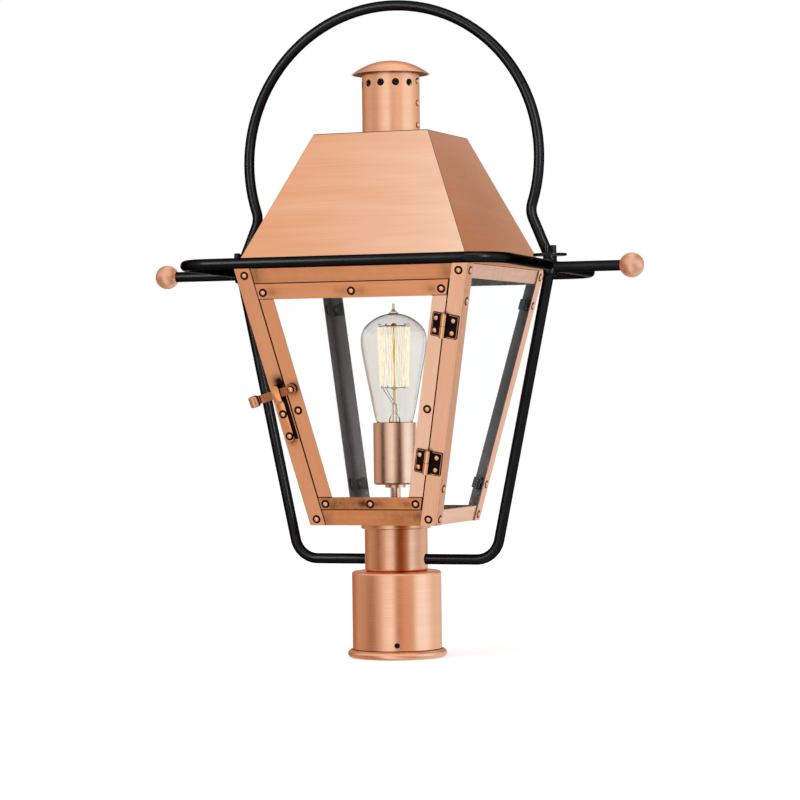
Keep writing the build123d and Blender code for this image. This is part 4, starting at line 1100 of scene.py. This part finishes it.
for name, node in (("lamp_pipe_tube", "lamp_pipe"), ("lamp_pipe_nuts", "pipe_nuts")):
    fitted(name, [node], [SATIN_COPPER], lay="round", smooth=True)

# Studio: a pale floor, a white background and soft panels that the metal reflects

FLOOR_DROP = 0.2
FLOOR_LIFT = 0.45
ROOM = (0.72, 0.72, 0.72, 1)
WHITE = (1, 1, 1, 1)
WARMER = 0.35
COOLER = 0.30


def behind(tree):
    """A tree's kinds of ray, and one factor for those that show the background."""
    rays = add(tree, "LightPath").outputs
    seen = add(tree, "Math", {0: rays["Is Camera Ray"], 1: rays["Is Transmission Ray"]}, operation="MAXIMUM")
    return rays, seen


floor = bmesh.new()
bmesh.ops.create_grid(floor, x_segments=1, y_segments=1, size=6.0)
floor_mesh = bpy.data.meshes.new("studio_floor")
floor.to_mesh(floor_mesh)
floor.free()
paper, tree, shader, place = new_finish("white_paper_floor")
feed(tree, shader, {
    "Base Color": "#F2F2F2", "Roughness": 0.9, "Specular IOR Level": 0.0, "Emission Color": WHITE,
    "Emission Strength": add(tree, "Math", {0: behind(tree)[1], 1: FLOOR_LIFT}, operation="MULTIPLY"),
})
floor_mesh.materials.append(paper)
floor_piece = show("studio_floor", floor_mesh)
floor_piece.location.z = -FLOOR_DROP * MM
floor_piece.visible_glossy = False

# Rows of panels round the lantern, from the lowest to the zenith. Each row has the heights between which it
# takes over from the one below, and its panels: degrees from the front towards +X, how bright and how warm.
PANEL_ROWS = (
    (None, (
        (-180, 0.75, 0.5), (-60, 0.4, 1), (-30, 0.4, 1), (-24, 0.5, 1), (-18, 1.14, -1.2), (-8, 1.28, -0.5),
        (10, 1.08, 0.5), (60, 0.6, 0.5), (110, 0.8, 0.3), (150, 1.08, 9), (170, 1.08, 9), (180, 0.85, 0.3))),
    ((-0.3, -0.18), (
        (-180, 0.75, 0.5), (-123, 0.28, 1), (-96, 0.52, 1), (-72, 0.42, 1), (-48, 0.2, 1), (-27, 0.58, 1),
        (-12, 1.15, 2.3), (8, 1.4, 1.2), (21, 0.28, 1.2), (28, 0.17, 1.45), (36, 0.4, 2), (45, 0.53, 2.05),
        (60, 0.47, 1.5), (75, 1.53, 1.65), (100, 1.53, 1.65), (125, 0.96, 0.3), (150, 1.05, 8),
        (165, 1.05, 10), (180, 0.8, 0.4))),
    ((0.02, 0.14), (
        (-180, 0.45, 0.8), (-120, 0.42, 0.8), (-70, 0.92, 0.8), (-36, 0.92, 0.6), (-24, 1.12, 0.4),
        (30, 1.05, 0.5), (80, 1.1, 0.5), (105, 1.1, 0.5), (135, 0.8, 0.7), (155, 0.52, 0.5),
        (168, 0.49, 0.4), (180, 0.47, 0.8))),
    ((0.5, 0.75), (
        (-180, 1.35, 0.5), (-150, 1.1, 0.5), (-118, 0.55, 1.2), (-80, 0.6, 1.2), (-28, 1.05, 0.5),
        (60, 0.95, 0.5), (95, 0.55, 0.6), (140, 0.35, 0.6), (162, 0.9, 0.5), (180, 1.35, 0.5))),
    ((0.9, 0.98), ((-180, 1.18, 0.5), (180, 1.18, 0.5))),
)
world = bpy.data.worlds.new("studio")
bpy.context.scene.world = world
world.use_nodes = True
sky = world.node_tree
sky.nodes.clear()
axes = add(sky, "SeparateXYZ", {0: add(sky, "TexCoord").outputs["Generated"]}).outputs
ahead = add(sky, "Math", {0: axes["Y"], 1: -1.0}, operation="MULTIPLY")
around = add(sky, "Math", {0: axes["X"], 1: ahead}, operation="ARCTAN2")
turn_share = add(sky, "MapRange", {"Value": around, "From Min": -pi, "From Max": pi})
panel_light = None
for heights, panels in PANEL_ROWS:
    row = add(sky, "ValToRGB", {0: turn_share})
    row.color_ramp.interpolation = "EASE"
    stops = row.color_ramp.elements
    while len(stops) > 1:
        stops.remove(stops[0])
    for number, (turn, level, warmth) in enumerate(panels):
        position = (turn + 180) / 360
        stop = stops.new(position) if number else stops[0]
        stop.position = position
        stop.color = (level ** (1 - WARMER * warmth), level, level ** (1 + COOLER * warmth), 1)
    if heights:
        raised = add(
            sky, "MapRange", {"Value": axes["Z"], "From Min": heights[0], "From Max": heights[1]},
            interpolation_type="SMOOTHSTEP")
        row = add(sky, "Mix", {"Factor": raised, "A": panel_light, "B": row}, data_type="RGBA")
    panel_light = row
rays, backdrop = behind(sky)
room = add(sky, "Mix", {"Factor": rays["Is Glossy Ray"], "A": ROOM, "B": panel_light}, data_type="RGBA")
shown = add(sky, "Mix", {"Factor": backdrop, "A": room, "B": WHITE}, data_type="RGBA")
lit = add(sky, "Background", {"Color": shown, "Strength": 1.0})
add(sky, "OutputWorld", {"Surface": lit})

MIDDLE = Vector((0, 0, 0.3))


def softbox(name, place, width, height, power, receivers=None):
    """A soft lamp aimed at the lantern. With receivers, only they are lit by it and mirror it."""
    lamp = bpy.data.lights.new(name, "AREA")
    lamp.shape = "RECTANGLE"
    lamp.size, lamp.size_y, lamp.energy = width, height, power
    piece = show(name, lamp)
    piece.location = place
    piece.rotation_euler = (MIDDLE - Vector(place)).to_track_quat("-Z", "Y").to_euler()
    piece.visible_glossy = receivers is not None
    if receivers:
        lit_ones = bpy.data.collections.new(name + "_lit")
        for other in receivers:
            lit_ones.objects.link(other)
        piece.light_linking.receiver_collection = lit_ones


softbox("key_softbox", (-1.3, -1.9, 1.7), 0.9, 0.9, 22)
softbox("rod_strip_right", (1.5, -1.4, 0.9), 0.28, 1.2, 26, rods)
softbox("rod_strip_left", (-1.0, -2.0, 0.9), 0.28, 1.2, 24, rods)
softbox("rod_strip_high", (0.4, -1.4, 2.2), 1.4, 0.28, 13, rods)

# Camera, at the photograph's place

CAMERA_PLACE = (0.9443, -2.5499, 0.2401)
CAMERA_TURN = radians(20.321)
CAMERA_ROLL = radians(-0.698)
camera = bpy.data.cameras.new("camera")
camera.sensor_width = 36.0
camera.lens = 135.04
camera.shift_x = 0.0070
camera.shift_y = -0.0106
camera.clip_end = 50.0
view = show("camera", camera)
view.matrix_world = (
    Matrix.Translation(CAMERA_PLACE)
    @ Matrix.Rotation(CAMERA_TURN, 4, "Z")
    @ Matrix.Rotation(pi / 2, 4, "X")
    @ Matrix.Rotation(CAMERA_ROLL, 4, "Z")
)
bpy.context.scene.camera = view
bpy.context.scene.view_settings.view_transform = "Standard"

bpy.context.view_layer.update()
